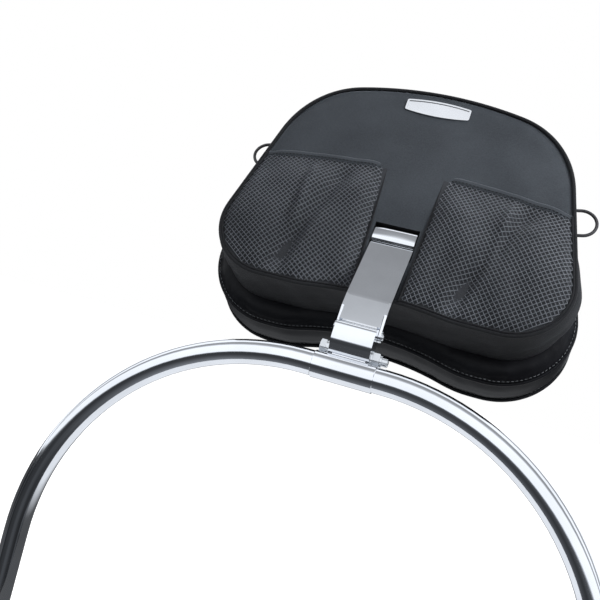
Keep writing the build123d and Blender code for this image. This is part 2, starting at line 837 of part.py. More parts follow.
def main():
    os.makedirs("parts", exist_ok=True)
    save(hoop_tube(), "hoop_tube")
    save(leg_plug(-1), "left_leg_plug")
    save(leg_plug(1), "right_leg_plug")
    save(hoop_sleeve(), "hoop_sleeve")
    save(pivot_lug(), "pivot_lug")
    save(pivot_bolt(), "pivot_bolt")
    save(pivot_washers(), "pivot_washers")
    save(spring_washer(), "spring_washer")
    save(lock_nut(), "lock_nut")
    save(friction_discs(), "friction_discs")
    save(hinge_bracket(), "hinge_bracket")
    save(fold_pin(), "fold_pin")
    save(fold_pin_clip(), "fold_pin_clip")
    save(lean(upright_bar()), "upright_bar")
    save(lean(bar_screws()), "bar_screws")
    save(lean(tee_nuts()), "tee_nuts")
    save(lean(pouch_body()), "pouch_body")
    save(lean(pouch_piping()), "pouch_piping")
    save(lean(pouch_face_panel()), "pouch_face_panel")
    save(lean(slot_binding()), "slot_binding")
    save(lean(badge()), "badge")
    both_sides(right_mesh_pocket, "mesh_pocket")
    both_sides(right_pocket_hem, "pocket_hem")
    both_sides(right_ring_tab, "ring_tab")
    both_sides(right_d_ring, "d_ring")
    rear, band, front = cushion_covers()
    save(lean(rear), "pad_rear_cover")
    save(lean(band), "pad_side_band")
    save(lean(front), "pad_front_cover")
    save(lean(cushion_welt(rear_seam)), "pad_rear_piping")
    save(lean(cushion_welt(front_seam)), "pad_front_piping")
    save(lean(pad_board()), "pad_board")
    save(lean(pad_foam()), "pad_foam")


main()
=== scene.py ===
"""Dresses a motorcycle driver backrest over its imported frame: cushion, pouch, nets, hinge and hoop."""

import json
import logging
import math
from dataclasses import dataclass, field
from enum import Enum
from functools import cache
from typing import Any, Sequence

import bpy
import bmesh
import numpy as np
from mathutils import Matrix, Vector

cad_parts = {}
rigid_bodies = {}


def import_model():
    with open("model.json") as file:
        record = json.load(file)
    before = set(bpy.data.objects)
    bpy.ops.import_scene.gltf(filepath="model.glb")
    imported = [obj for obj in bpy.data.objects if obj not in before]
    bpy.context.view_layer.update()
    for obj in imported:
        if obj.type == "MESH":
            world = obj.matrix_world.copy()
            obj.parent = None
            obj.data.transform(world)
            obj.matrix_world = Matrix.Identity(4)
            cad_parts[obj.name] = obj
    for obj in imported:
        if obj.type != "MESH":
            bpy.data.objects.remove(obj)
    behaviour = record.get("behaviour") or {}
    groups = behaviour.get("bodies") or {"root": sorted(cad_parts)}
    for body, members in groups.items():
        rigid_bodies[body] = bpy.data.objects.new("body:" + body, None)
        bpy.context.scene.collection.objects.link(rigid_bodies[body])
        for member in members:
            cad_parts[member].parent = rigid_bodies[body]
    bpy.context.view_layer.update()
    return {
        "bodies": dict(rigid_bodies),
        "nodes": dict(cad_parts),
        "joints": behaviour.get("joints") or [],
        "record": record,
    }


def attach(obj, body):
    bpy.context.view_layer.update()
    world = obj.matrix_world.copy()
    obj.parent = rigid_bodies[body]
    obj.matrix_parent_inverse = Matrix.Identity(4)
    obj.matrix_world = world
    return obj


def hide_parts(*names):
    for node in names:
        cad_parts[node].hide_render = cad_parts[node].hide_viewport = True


Colour = tuple[float, float, float]
Material = bpy.types.Material
Mesh = bpy.types.Mesh
Node = bpy.types.Node
Piece = bpy.types.Object
Socket = bpy.types.NodeSocket

LOG = logging.getLogger("backrest")
MM = 0.001

# The back leans about the hoop's crown. In its own frame, x runs to the right, y forwards and z up, in millimetres
# from the crown's centre. The values below FACE are depths along y.
CROWN = 314.0
LEAN = math.radians(24.3)
LEAN_COS, LEAN_SIN = math.cos(LEAN), math.sin(LEAN)
FACE = 21.5
POUCH_BACK = 75.5
CUSHION_REAR = 75.8
REAR_SEAM = 87.8
FRONT_SEAM = 127.8
CUSHION_FRONT = 145.8

BODY = "backrest"
RIPPLE_WAVES = 9
RIPPLE_SPREAD = (0.7, 1.6)
RIPPLE_SHARE = 6.0


class Slot(Enum):
    """The record's material slots that show."""

    CHROME = "chrome"
    STEEL = "bright_steel"
    PLASTIC = "black_plastic"
    PLUG = "plug_plastic"
    PANEL = "pouch_fabric"
    GUSSET = "gusset_fabric"
    BINDING = "black_binding"
    MESH = "mesh"
    VINYL = "black_vinyl"
    PLYWOOD = "plywood"
    BADGE = "badge_metal"
    RING = "ring_metal"


def stand(points: np.ndarray) -> np.ndarray:
    """Turns points of the leaning back into the row frame.

    Args:
        points: Rows of x, forwards and up, in millimetres from the crown's centre.

    Returns:
        The same points in metres, in the row frame.
    """
    x, y, z = np.atleast_2d(np.asarray(points, dtype=float)).T
    return np.column_stack((x, y * LEAN_COS + z * LEAN_SIN, CROWN - y * LEAN_SIN + z * LEAN_COS)) * MM


def lie(points: np.ndarray) -> tuple[np.ndarray, np.ndarray]:
    """Turns points of the row frame into depths and heights of the leaning back.

    Args:
        points: Rows of x, y and z in metres.

    Returns:
        How far forwards and how far up each lies, in millimetres from the crown's centre.
    """
    y, z = points[..., 1], points[..., 2] - CROWN * MM
    return (y * LEAN_COS - z * LEAN_SIN) / MM, (y * LEAN_SIN + z * LEAN_COS) / MM


def ripple(x: np.ndarray, z: np.ndarray, seed: int, size: float) -> np.ndarray:
    """Smooth unevenness over the face, mostly between -1 and 1.

    Args:
        x: Positions to the right, in millimetres.
        z: Positions up the back, in millimetres.
        seed: Which pattern.
        size: Rough distance between crests, in millimetres.

    Returns:
        One height for each position.
    """
    rng = np.random.default_rng(seed)
    total = np.zeros_like(np.asarray(x, dtype=float))
    for _ in range(RIPPLE_WAVES):
        angle = rng.uniform(0, 2 * math.pi)
        wave = 2 * math.pi / (size * rng.uniform(*RIPPLE_SPREAD))
        total += np.sin(wave * (x * math.cos(angle) + z * math.sin(angle)) + rng.uniform(0, 2 * math.pi))
    return total / RIPPLE_SHARE


def smooth(t: np.ndarray | float) -> np.ndarray | float:
    """Eased step from 0 to 1."""
    t = np.clip(t, 0.0, 1.0)
    return t * t * (3 - 2 * t)


def tune(thing: Any, **settings: object) -> Any:
    """Sets several attributes of one thing.

    Args:
        thing: What they belong to.
        settings: Their names and values.

    Returns:
        The same thing.
    """
    for key, value in settings.items():
        setattr(thing, key, value)
    return thing


# Outlines


@dataclass(frozen=True)
class Outline:
    """A rounded trapezium with a crowned top and a waist in its lower edge, in millimetres."""

    bottom: float
    height: float
    bottom_width: float
    top_width: float
    crown_radius: float
    notch: float
    notch_half: float
    notch_round: float
    lower_corner: float
    upper_corner: float

    ARC_HALF = 60
    CORNER_POINTS = 24

    def arc(self, start: float, base: float, peak: float) -> np.ndarray:
        """Points on an arc that crosses the middle line at its peak.

        Args:
            start: Where it starts to the right, as far from the middle as its end.
            base: Height of both ends.
            peak: Height of its middle.

        Returns:
            Rows of x and z, with the peak at number ARC_HALF.
        """
        sag, half = peak - base, abs(start)
        radius = (half * half + sag * sag) / (2 * sag)
        sweep = math.asin(min(1.0, half / radius))
        angles = np.linspace(-sweep, sweep, 2 * self.ARC_HALF + 1)
        across = -math.copysign(radius, start) * np.sin(angles)
        return np.column_stack((across, peak - radius + radius * np.cos(angles)))

    @staticmethod
    def trim(line: np.ndarray, length: float) -> tuple[np.ndarray, np.ndarray]:
        """Cuts a length off a polyline's end.

        Args:
            line: Points in order.
            length: How much to cut.

        Returns:
            What is left, and its unit direction at the cut.
        """
        steps = np.linalg.norm(np.diff(line, axis=0), axis=1)
        marks = np.concatenate(([0.0], np.cumsum(steps)))
        stop = marks[-1] - length
        index = int(np.searchsorted(marks, stop)) - 1
        direction = (line[index + 1] - line[index]) / steps[index]
        share = (stop - marks[index]) / steps[index]
        cut = line[index] + share * (line[index + 1] - line[index])
        return np.vstack((line[: index + 1], cut)), direction

    def corner(self, before: np.ndarray, after: np.ndarray, radius: float) -> tuple[np.ndarray, np.ndarray]:
        """Rounds the corner between two polylines.

        Args:
            before: Points up to the corner.
            after: Points from the corner on.
            radius: Radius of the round.

        Returns:
            The first line with the round added, and the rest of the second.
        """
        into = before[-1] - before[-2]
        out = after[1] - after[0]
        into, out = into / np.linalg.norm(into), out / np.linalg.norm(out)
        turn = math.acos(float(np.clip(into @ out, -1, 1)))
        reach = radius * math.tan(turn / 2)
        first, ahead = self.trim(before, reach)
        second, back = self.trim(after[::-1], reach)
        second = second[::-1]
        handle = 4 / 3 * math.tan(turn / 4) * radius
        p0, p3 = first[-1], second[0]
        p1, p2 = p0 + ahead * handle, p3 + back * handle
        t = np.linspace(0, 1, self.CORNER_POINTS)[1:-1, None]
        bend = (1 - t) ** 3 * p0 + 3 * (1 - t) ** 2 * t * p1 + 3 * (1 - t) * t * t * p2 + t**3 * p3
        return np.vstack((first, bend)), second

    def half(self) -> np.ndarray:
        """The right half from the top's middle to the bottom's middle."""
        half_top, half_bottom = self.top_width / 2, self.bottom_width / 2
        top = self.bottom + self.height
        shoulder = top - self.crown_radius + math.sqrt(self.crown_radius**2 - half_top**2)
        line = self.arc(-half_top, shoulder, top)[self.ARC_HALF :]
        side = np.array([(half_top, shoulder), (half_bottom, self.bottom)], dtype=float)
        foot = np.array([(half_bottom, self.bottom), (self.notch_half, self.bottom)], dtype=float)
        waist = self.arc(self.notch_half, self.bottom, self.bottom + self.notch)[: self.ARC_HALF + 1]
        for after, radius in ((side, self.upper_corner), (foot, self.lower_corner), (waist, self.notch_round)):
            line, rest = self.corner(line, after, radius)
            line = np.vstack((line, rest))
        return line

    def loop(self, count: int, grow: float = 0.0) -> np.ndarray:
        """The closed outline as evenly spaced points.

        Args:
            count: How many points, an even number.
            grow: How far outside the outline they lie, in millimetres.

        Returns:
            Rows of x and z, clockwise as seen from behind, from the top's middle.
        """
        line = self.half()
        steps = np.concatenate(([0.0], np.cumsum(np.linalg.norm(np.diff(line, axis=0), axis=1))))
        marks = np.linspace(0, steps[-1], count // 2 + 1)
        right = np.column_stack([np.interp(marks, steps, line[:, k]) for k in (0, 1)])
        left = right[1:-1][::-1] * np.array([-1.0, 1.0])
        ring = np.vstack((right, left))
        return ring + grow * self.normals(ring)

    @staticmethod
    def normals(ring: np.ndarray) -> np.ndarray:
        """Outward unit directions at the points of a clockwise outline.

        Args:
            ring: Rows of x and z.

        Returns:
            One direction for each point.
        """
        ahead = np.roll(ring, -1, axis=0) - np.roll(ring, 1, axis=0)
        ahead /= np.linalg.norm(ahead, axis=1)[:, None]
        return np.column_stack((-ahead[:, 1], ahead[:, 0]))

    def ring(self, count: int, grow: float, depth: float) -> np.ndarray:
        """The outline as a ring at one depth of the leaning frame.

        Args:
            count: How many points.
            grow: How far outside the outline they lie.
            depth: How far forwards they lie.

        Returns:
            Rows of x, y and z.
        """
        flat = self.loop(count, grow)
        return np.column_stack((flat[:, 0], np.full(len(flat), depth), flat[:, 1]))


POUCH = Outline(
    bottom=81, height=247.5, bottom_width=366, top_width=271, crown_radius=352, notch=6, notch_half=72,
    notch_round=120, lower_corner=56, upper_corner=104,
)
CUSHION = Outline(
    bottom=61, height=276, bottom_width=398, top_width=286, crown_radius=330, notch=14, notch_half=84,
    notch_round=90, lower_corner=71, upper_corner=100,
)


# Finishes


class Graph:
    """Short hand for filling a node tree."""

    def __init__(self, tree: bpy.types.NodeTree) -> None:
        """Starts from the tree without its nodes."""
        self.tree = tree
        tree.nodes.clear()

    def feed(self, node: Node, sockets: dict[str | int, object]) -> None:
        """Joins or sets a node's inputs.

        Args:
            node: The node.
            sockets: An output or a plain value for each input, by its name or number.
        """
        for key, value in sockets.items():
            if isinstance(value, Socket):
                self.tree.links.new(value, node.inputs[key])
            else:
                node.inputs[key].default_value = value

    def add(self, kind: str, sockets: dict[str | int, object] | None = None, **options: object) -> Node:
        """Adds a node.

        Args:
            kind: Its type.
            sockets: An output or a plain value for each input, by its name or number.
            options: Its own settings.

        Returns:
            The node.
        """
        node = tune(self.tree.nodes.new(kind), **options)
        self.feed(node, sockets or {})
        return node

    def maths(self, kind: str, a: object, b: object) -> Socket:
        """One sum, product or other operation of sockets or numbers."""
        return self.add("ShaderNodeMath", {0: a, 1: b}, operation=kind).outputs[0]

    def span(self, value: Socket, low: float, high: float, start: float = 0.0, stop: float = 1.0) -> Socket:
        """Maps the range from start to stop on to the one from low to high."""
        ends = {"From Min": start, "From Max": stop, "To Min": low, "To Max": high}
        return self.add("ShaderNodeMapRange", {"Value": value, **ends}).outputs["Result"]

    def ramp(self, value: Socket, stops: Sequence[tuple[float, Colour]]) -> Socket:
        """A colour ramp.

        Args:
            value: What it reads.
            stops: Places and colours in rising order.

        Returns:
            The colour.
        """
        node = self.add("ShaderNodeValToRGB", {"Fac": value})
        bar = node.color_ramp.elements
        for end in (0, -1):
            place, colour = stops[end]
            tune(bar[end], position=place, color=(*colour, 1))
        for place, colour in stops[1:-1]:
            bar.new(place).color = (*colour, 1)
        return node.outputs["Color"]

    def choose(self, share: Socket, one: Socket, other: Socket) -> Socket:
        """The first shader, or the other one where the share is 1."""
        return self.add("ShaderNodeMixShader", {"Fac": share, 1: one, 2: other}).outputs[0]


class Surface(Graph):
    """A material's node tree around one shader."""

    def __init__(self, name: str) -> None:
        """Starts a material with its shader and output.

        Args:
            name: The material's name.
        """
        self.material = tune(bpy.data.materials.new(name), use_nodes=True)
        super().__init__(self.material.node_tree)
        self.shader = self.add("ShaderNodeBsdfPrincipled")
        self.add("ShaderNodeOutputMaterial", {"Surface": self.shader.outputs[0]})
        self.relief: dict[str | int, object] = {}

    def position(self, leaning: bool = False) -> Socket:
        """Object coordinates in metres.

        Args:
            leaning: Whether they run along the leaning back.

        Returns:
            The coordinates.
        """
        where = self.add("ShaderNodeTexCoord").outputs["Object"]
        turn = (-LEAN if leaning else 0.0, 0.0, 0.0)
        return self.add("ShaderNodeMapping", {"Vector": where, "Rotation": turn}).outputs["Vector"]

    def noise(self, where: Socket, scale: float, detail: float = 2.0) -> Socket:
        """A noise texture's value."""
        return self.add("ShaderNodeTexNoise", {"Vector": where, "Scale": scale, "Detail": detail}).outputs[0]

    def cells(self, where: Socket, scale: float) -> Socket:
        """Distance to the edges of small cells."""
        node = self.add("ShaderNodeTexVoronoi", {"Vector": where, "Scale": scale}, feature="DISTANCE_TO_EDGE")
        return node.outputs["Distance"]

    def bands(self, where: Socket, scale: float, axis: str) -> Socket:
        """Sine bands across one axis.

        Args:
            where: The coordinates that they are laid on.
            scale: How close they lie.
            axis: X, Y or Z.

        Returns:
            Their value.
        """
        sockets = {"Vector": where, "Scale": scale, "Distortion": 0.0}
        options = {"wave_type": "BANDS", "bands_direction": axis, "wave_profile": "SIN"}
        return self.add("ShaderNodeTexWave", sockets, **options).outputs["Fac"]

    def bump(self, height: Socket, distance: float, strength: float) -> None:
        """Lays a height on the surface, on top of any laid before.

        Args:
            height: The height, between 0 and 1.
            distance: How high 1 stands, in metres.
            strength: How much of it shows.
        """
        sockets = {"Distance": distance, "Strength": strength, "Height": height, **self.relief}
        self.relief = {"Normal": self.add("ShaderNodeBump", sockets).outputs["Normal"]}
        self.feed(self.shader, self.relief)

    def paint(self, tone: Socket, stops: Sequence[tuple[float, Colour]], **sockets: object) -> None:
        """Colours the shader and sets its other inputs.

        Args:
            tone: What the colour follows.
            stops: Places and colours of its ramp.
            sockets: The other inputs, with underscores for spaces.
        """
        self.feed(self.shader, {"Base Color": self.ramp(tone, stops)})
        self.feed(self.shader, {key.replace("_", " "): value for key, value in sockets.items()})


@dataclass(frozen=True)
class Cloth:
    """Woven or knitted fabric: two colours of yarn, how coarse it is and its sheen."""

    name: str
    dark: Colour
    light: Colour
    threads: float
    sheen: float
    sheen_tint: tuple[float, float, float, float] = (0.6, 0.66, 0.75, 1.0)
    rough: float = 0.75
    relief: float = 0.00025

    def make(self) -> Material:
        """The cloth's material, woven across and up the leaning back."""
        n = Surface(self.name)
        flat = n.position(leaning=True)
        weft, warp = (n.bands(flat, self.threads / math.pi, axis) for axis in "ZX")
        weave = n.maths("MULTIPLY", weft, warp)
        patches = n.noise(flat, 16.0, 3.0)
        fuzz = n.noise(flat, 700.0)
        mixed = n.maths("ADD", n.maths("MULTIPLY", weave, 0.25), n.maths("MULTIPLY", patches, 0.55))
        mixed = n.maths("ADD", mixed, n.maths("MULTIPLY", fuzz, 0.35))
        n.paint(
            mixed, [(0.25, self.dark), (0.8, self.light)], Roughness=self.rough, Sheen_Weight=self.sheen,
            Sheen_Roughness=0.4, Sheen_Tint=self.sheen_tint, Specular_IOR_Level=0.35,
        )
        n.bump(weave, self.relief, 0.6)
        n.bump(fuzz, 0.0002, 0.5)
        return n.material


@dataclass(frozen=True)
class Vinyl:
    """Smooth black cover with a fine leather grain."""

    name: str = "satin_vinyl"
    dark: Colour = (0.003, 0.003, 0.004)
    light: Colour = (0.008, 0.009, 0.011)

    def make(self) -> Material:
        """The vinyl's material."""
        n = Surface(self.name)
        where = n.position()
        patches = n.noise(where, 14.0, 3.0)
        rough = n.span(patches, 0.40, 0.54)
        n.paint(patches, [(0.3, self.dark), (0.75, self.light)], Roughness=rough, Specular_IOR_Level=0.12)
        n.bump(n.cells(where, 620.0), 0.0002, 0.35)
        n.bump(n.noise(where, 1500.0), 0.0001, 0.3)
        return n.material


@dataclass(frozen=True)
class Metal:
    """Plated or polished metal with faint clouding."""

    name: str
    colour: Colour
    rough: float
    cloud: float = 0.04
    brushed: bool = False

    def make(self) -> Material:
        """The metal's material."""
        n = Surface(self.name)
        where = n.position()
        clouds = n.noise(where, 24.0, 4.0)
        dim = tuple(c * 0.9 for c in self.colour)
        rough = n.span(clouds, max(0.02, self.rough - self.cloud), self.rough + self.cloud)
        n.paint(clouds, [(0.3, dim), (0.7, self.colour)], Roughness=rough, Metallic=1.0)
        scale, *relief = (1400.0, 0.00004, 0.25) if self.brushed else (60.0, 0.00006, 0.12)
        n.bump(n.noise(where, scale), *relief)
        return n.material


@dataclass(frozen=True)
class Moulded:
    """Moulded or lacquered black with a fine texture."""

    name: str
    colour: Colour
    rough: float

    def make(self) -> Material:
        """The plastic's or lacquer's material."""
        n = Surface(self.name)
        where = n.position()
        cloud = n.noise(where, 40.0, 3.0)
        light = tuple(c * 1.5 for c in self.colour)
        rough = n.span(cloud, self.rough - 0.05, self.rough + 0.05)
        n.paint(cloud, [(0.3, self.colour), (0.8, light)], Roughness=rough)
        n.bump(n.noise(where, 900.0), 0.00008, 0.3)
        return n.material


@dataclass(frozen=True)
class Wood:
    """Bare plywood."""

    name: str = "plywood"

    def make(self) -> Material:
        """The plywood's material."""
        n = Surface(self.name)
        where = n.position(leaning=True)
        grain = n.bands(where, 60.0, "X")
        streak = n.noise(where, 90.0, 5.0)
        mixed = n.maths("ADD", n.maths("MULTIPLY", grain, 0.4), n.maths("MULTIPLY", streak, 0.6))
        n.paint(mixed, [(0.2, (0.36, 0.24, 0.13)), (0.8, (0.60, 0.44, 0.27))], Roughness=0.7)
        n.bump(streak, 0.0002, 0.4)
        return n.material


RECIPES = {
    Slot.CHROME: Metal("chrome_plate", (0.78, 0.80, 0.83), 0.09),
    Slot.STEEL: Metal("zinc_steel", (0.66, 0.68, 0.70), 0.24, brushed=True),
    Slot.BADGE: Metal("badge_plate", (0.86, 0.87, 0.89), 0.16, brushed=True),
    Slot.RING: Moulded("ring_lacquer", (0.018, 0.018, 0.020), 0.22),
    Slot.PLASTIC: Moulded("friction_disc", (0.03, 0.03, 0.03), 0.6),
    Slot.PLUG: Moulded("end_plug", (0.025, 0.025, 0.026), 0.5),
    Slot.PANEL: Cloth("ballistic_cloth", (0.016, 0.019, 0.023), (0.050, 0.057, 0.066), 1500.0, 0.22),
    Slot.GUSSET: Cloth("gusset_cloth", (0.003, 0.003, 0.004), (0.011, 0.012, 0.014), 1500.0, 0.03),
    Slot.BINDING: Cloth("binding_tape", (0.004, 0.004, 0.005), (0.015, 0.016, 0.018), 1900.0, 0.04),
    Slot.MESH: Cloth("net_yarn", (0.070, 0.076, 0.086), (0.190, 0.205, 0.230), 2400.0, 0.15),
    Slot.VINYL: Vinyl(),
    Slot.PLYWOOD: Wood(),
}
THREAD = Cloth("sewing_thread", (0.06, 0.065, 0.07), (0.16, 0.17, 0.18), 3000.0, 0.2)
LINING = Cloth("pocket_lining", (0.017, 0.018, 0.021), (0.042, 0.045, 0.051), 1500.0, 0.04)


@cache
def finish(kind: Slot | Cloth) -> Material:
    """The material of a slot or of a cloth, made on first use."""
    return RECIPES.get(kind, kind).make()


# Meshes


def place(name: str, data: Mesh | bpy.types.Light | bpy.types.Camera) -> Piece:
    """Puts a new object into the scene.

    Args:
        name: Its name.
        data: Its mesh, light or camera.

    Returns:
        The object.
    """
    piece = bpy.data.objects.new(name, data)
    bpy.context.scene.collection.objects.link(piece)
    return piece


def soften(mesh: Mesh) -> None:
    """Shades every face smooth."""
    mesh.polygons.foreach_set("use_smooth", [True] * len(mesh.polygons))


def read(mesh: Mesh, what: str) -> np.ndarray:
    """Reads each vertex's place or normal.

    Args:
        mesh: The mesh.
        what: "co" or "normal".

    Returns:
        Rows of three numbers.
    """
    rows = np.empty(len(mesh.vertices) * 3)
    mesh.vertices.foreach_get(what, rows)
    return rows.reshape(-1, 3)


def modify(piece: Piece, kind: str, **settings: object) -> bpy.types.Modifier:
    """Adds a modifier with its settings."""
    return tune(piece.modifiers.new(kind.lower(), kind), **settings)


def baked(piece: Piece) -> Mesh:
    """Takes a piece's modifiers off.

    Args:
        piece: The piece.

    Returns:
        A new mesh of what they made of it.
    """
    bpy.context.view_layer.update()
    graph = bpy.context.evaluated_depsgraph_get()
    mesh = bpy.data.meshes.new_from_object(piece.evaluated_get(graph), depsgraph=graph)
    piece.modifiers.clear()
    return mesh


def draft(name: str, points: np.ndarray, edges: Sequence[tuple], faces: Sequence[tuple]) -> Piece:
    """Makes an object at the origin.

    Args:
        name: The piece's name.
        points: Vertices in millimetres, in the leaning frame.
        edges: Vertex numbers of each edge without a face.
        faces: Vertex numbers of each face.

    Returns:
        The new object.
    """
    mesh = bpy.data.meshes.new(name)
    mesh.from_pydata([tuple(p) for p in stand(points)], edges, faces)
    mesh.update()
    return place(name, mesh)


def build(
    name: str, points: np.ndarray, faces: Sequence[tuple], *materials: Material, closed: bool = True, soft: bool = True
) -> Piece:
    """Makes a skin or a closed body at the origin.

    Args:
        name: The piece's name.
        points: Vertices in millimetres, in the leaning frame.
        faces: Vertex numbers of each face.
        materials: What it is made of, the first for every face.
        closed: Whether it is a closed body, whose faces are turned outwards.
        soft: Whether it is shaded smooth.

    Returns:
        The new object.
    """
    piece = draft(name, points, [], faces)
    for material in materials:
        piece.data.materials.append(material)
    if soft:
        soften(piece.data)
    if closed:
        shape = bmesh.new()
        shape.from_mesh(piece.data)
        bmesh.ops.remove_doubles(shape, verts=shape.verts, dist=1e-6)
        bmesh.ops.recalc_face_normals(shape, faces=shape.faces)
        shape.to_mesh(piece.data)
        shape.free()
        piece.data.update()
    return piece


def loft(rings: Sequence[np.ndarray], closed_ends: bool = True) -> tuple[np.ndarray, list[tuple[int, ...]]]:
    """Skins a row of closed rings with quads.

    Args:
        rings: Arrays of the same number of points.
        closed_ends: Whether the first and last ring are closed by a face.

    Returns:
        Vertices and faces.
    """
    count = len(rings[0])
    last = (len(rings) - 1) * count
    faces: list[tuple[int, ...]] = []
    for a in range(0, last, count):
        for i in range(count):
            j = (i + 1) % count
            faces.append((a + i, a + j, a + count + j, a + count + i))
    if closed_ends:
        faces.append(tuple(range(count))[::-1])
        faces.append(tuple(range(last, last + count)))
    return np.vstack(rings), faces


def shrunk(ring: np.ndarray, share: float, centre: tuple[float, float]) -> np.ndarray:
    """Draws a ring in towards a centre.

    Args:
        ring: Rows of x, y and z.
        share: What is left of its width and height.
        centre: The x and z that it is drawn to.

    Returns:
        The new ring.
    """
    out = ring.copy()
    for axis, middle in zip((0, 2), centre):
        out[:, axis] = middle + (ring[:, axis] - middle) * share
    return out


def dress(piece: Piece, stands_for: Sequence[str] = ()) -> Piece:
    """Hands a finished piece of the back to the frame.

    Args:
        piece: The piece, in place.
        stands_for: The frame's nodes that it replaces.

    Returns:
        The same piece.
    """
    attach(piece, BODY)
    if stands_for:
        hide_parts(*stands_for)
    LOG.info("%s: %d faces", piece.name, len(piece.data.polygons))
    return piece


# Cords and stitches


class Tree(Graph):
    """A geometry node tree with named inputs, run once on a piece."""

    def __init__(self, name: str, *sizes: str) -> None:
        """Starts a tree that takes geometry and numbers, and gives geometry.

        Args:
            name: The tree's name.
            sizes: The names of its numbers.
        """
        super().__init__(bpy.data.node_groups.new(name, "GeometryNodeTree"))
        for way in ("INPUT", "OUTPUT"):
            self.tree.interface.new_socket("Geometry", in_out=way, socket_type="NodeSocketGeometry")
        for size in sizes:
            self.tree.interface.new_socket(size, in_out="INPUT", socket_type="NodeSocketFloat")
        self.given = self.add("NodeGroupInput").outputs

    def run(self, piece: Piece, last: Socket, material: Material, **sizes: float) -> Piece:
        """Ends the tree in real geometry, runs it on a piece and keeps the result as its mesh.

        Args:
            piece: What holds the tree's starting geometry.
            last: The geometry that the tree makes.
            material: What it is made of.
            sizes: Values of the named inputs.

        Returns:
            A new object of the same name with the plain mesh.
        """
        real = self.add("GeometryNodeRealizeInstances", {"Geometry": last}).outputs["Geometry"]
        paint = self.add("GeometryNodeSetMaterial", {"Geometry": real, "Material": material})
        self.add("NodeGroupOutput", {0: paint.outputs["Geometry"]})
        modifier = modify(piece, "NODES", node_group=self.tree)
        for item in self.tree.interface.items_tree:
            if item.in_out == "INPUT" and item.name in sizes:
                modifier[item.identifier] = float(sizes[item.name])
        mesh, name = baked(piece), piece.name
        bpy.data.objects.remove(piece)
        mesh.name = name
        soften(mesh)
        return place(name, mesh)


def cord(start: Piece, slot: Slot, radius: float, sides: int, stands_for: Sequence[str] = ()) -> Piece:
    """Lays round cord along every edge of a piece and dresses it.

    Args:
        start: The piece of edges.
        slot: What the cord is made of.
        radius: Its radius in metres.
        sides: How many sides it has.
        stands_for: The frame's nodes that it replaces.

    Returns:
        The cord.
    """
    tree = Tree("cord", "Radius", "Sides")
    curve = tree.add("GeometryNodeMeshToCurve", {"Mesh": tree.given["Geometry"]}).outputs["Curve"]
    sockets = {"Radius": tree.given["Radius"], "Resolution": tree.given["Sides"]}
    circle = tree.add("GeometryNodeCurvePrimitiveCircle", sockets).outputs["Curve"]
    skin = tree.add("GeometryNodeCurveToMesh", {"Curve": curve, "Profile Curve": circle}).outputs["Mesh"]
    return dress(tree.run(start, skin, finish(slot), Radius=radius, Sides=sides), stands_for)


def stitch(start: Piece, thread: Slot | Cloth, pitch: float, length: float, thickness: float) -> Piece:
    """Lays short stitches along every edge of a piece and dresses them.

    Args:
        start: The piece of edges.
        thread: What the stitches are made of.
        pitch: From one stitch to the next, in metres.
        length: Length of a stitch.
        thickness: How thick it is.

    Returns:
        The stitches.
    """
    tree = Tree("stitch", "Pitch", "Length", "Thickness")
    given = tree.given
    curve = tree.add("GeometryNodeMeshToCurve", {"Mesh": given["Geometry"]}).outputs["Curve"]
    points = tree.add("GeometryNodeCurveToPoints", {"Curve": curve, "Length": given["Pitch"]}, mode="LENGTH").outputs
    grain = tree.add("GeometryNodeMeshUVSphere", {"Segments": 6, "Rings": 4, "Radius": 0.5}).outputs["Mesh"]
    scale = tree.add("ShaderNodeCombineXYZ", {"X": given["Thickness"], "Y": given["Thickness"], "Z": given["Length"]})
    align = tree.add("FunctionNodeAlignRotationToVector", {"Vector": points["Tangent"]}, axis="Z")
    sockets = {
        "Points": points["Points"], "Instance": grain, "Rotation": align.outputs["Rotation"],
        "Scale": scale.outputs["Vector"],
    }
    row = tree.add("GeometryNodeInstanceOnPoints", sockets).outputs["Instances"]
    return dress(tree.run(start, row, finish(thread), Pitch=pitch, Length=length, Thickness=thickness))


def wire(name: str, lines: Sequence[np.ndarray], closed: bool) -> Piece:
    """A piece of edges only.

    Args:
        name: The piece's name.
        lines: Each line's points in millimetres, in the leaning frame.
        closed: Whether each line joins its own start.

    Returns:
        The new object.
    """
    edges: list[tuple[int, int]] = []
    start = 0
    for line in lines:
        stop = start + len(line)
        edges += [(i, i + 1) for i in range(start, stop - 1)]
        if closed:
            edges.append((stop - 1, start))
        start = stop
    return draft(name, np.vstack(lines), edges, [])


# Cushion


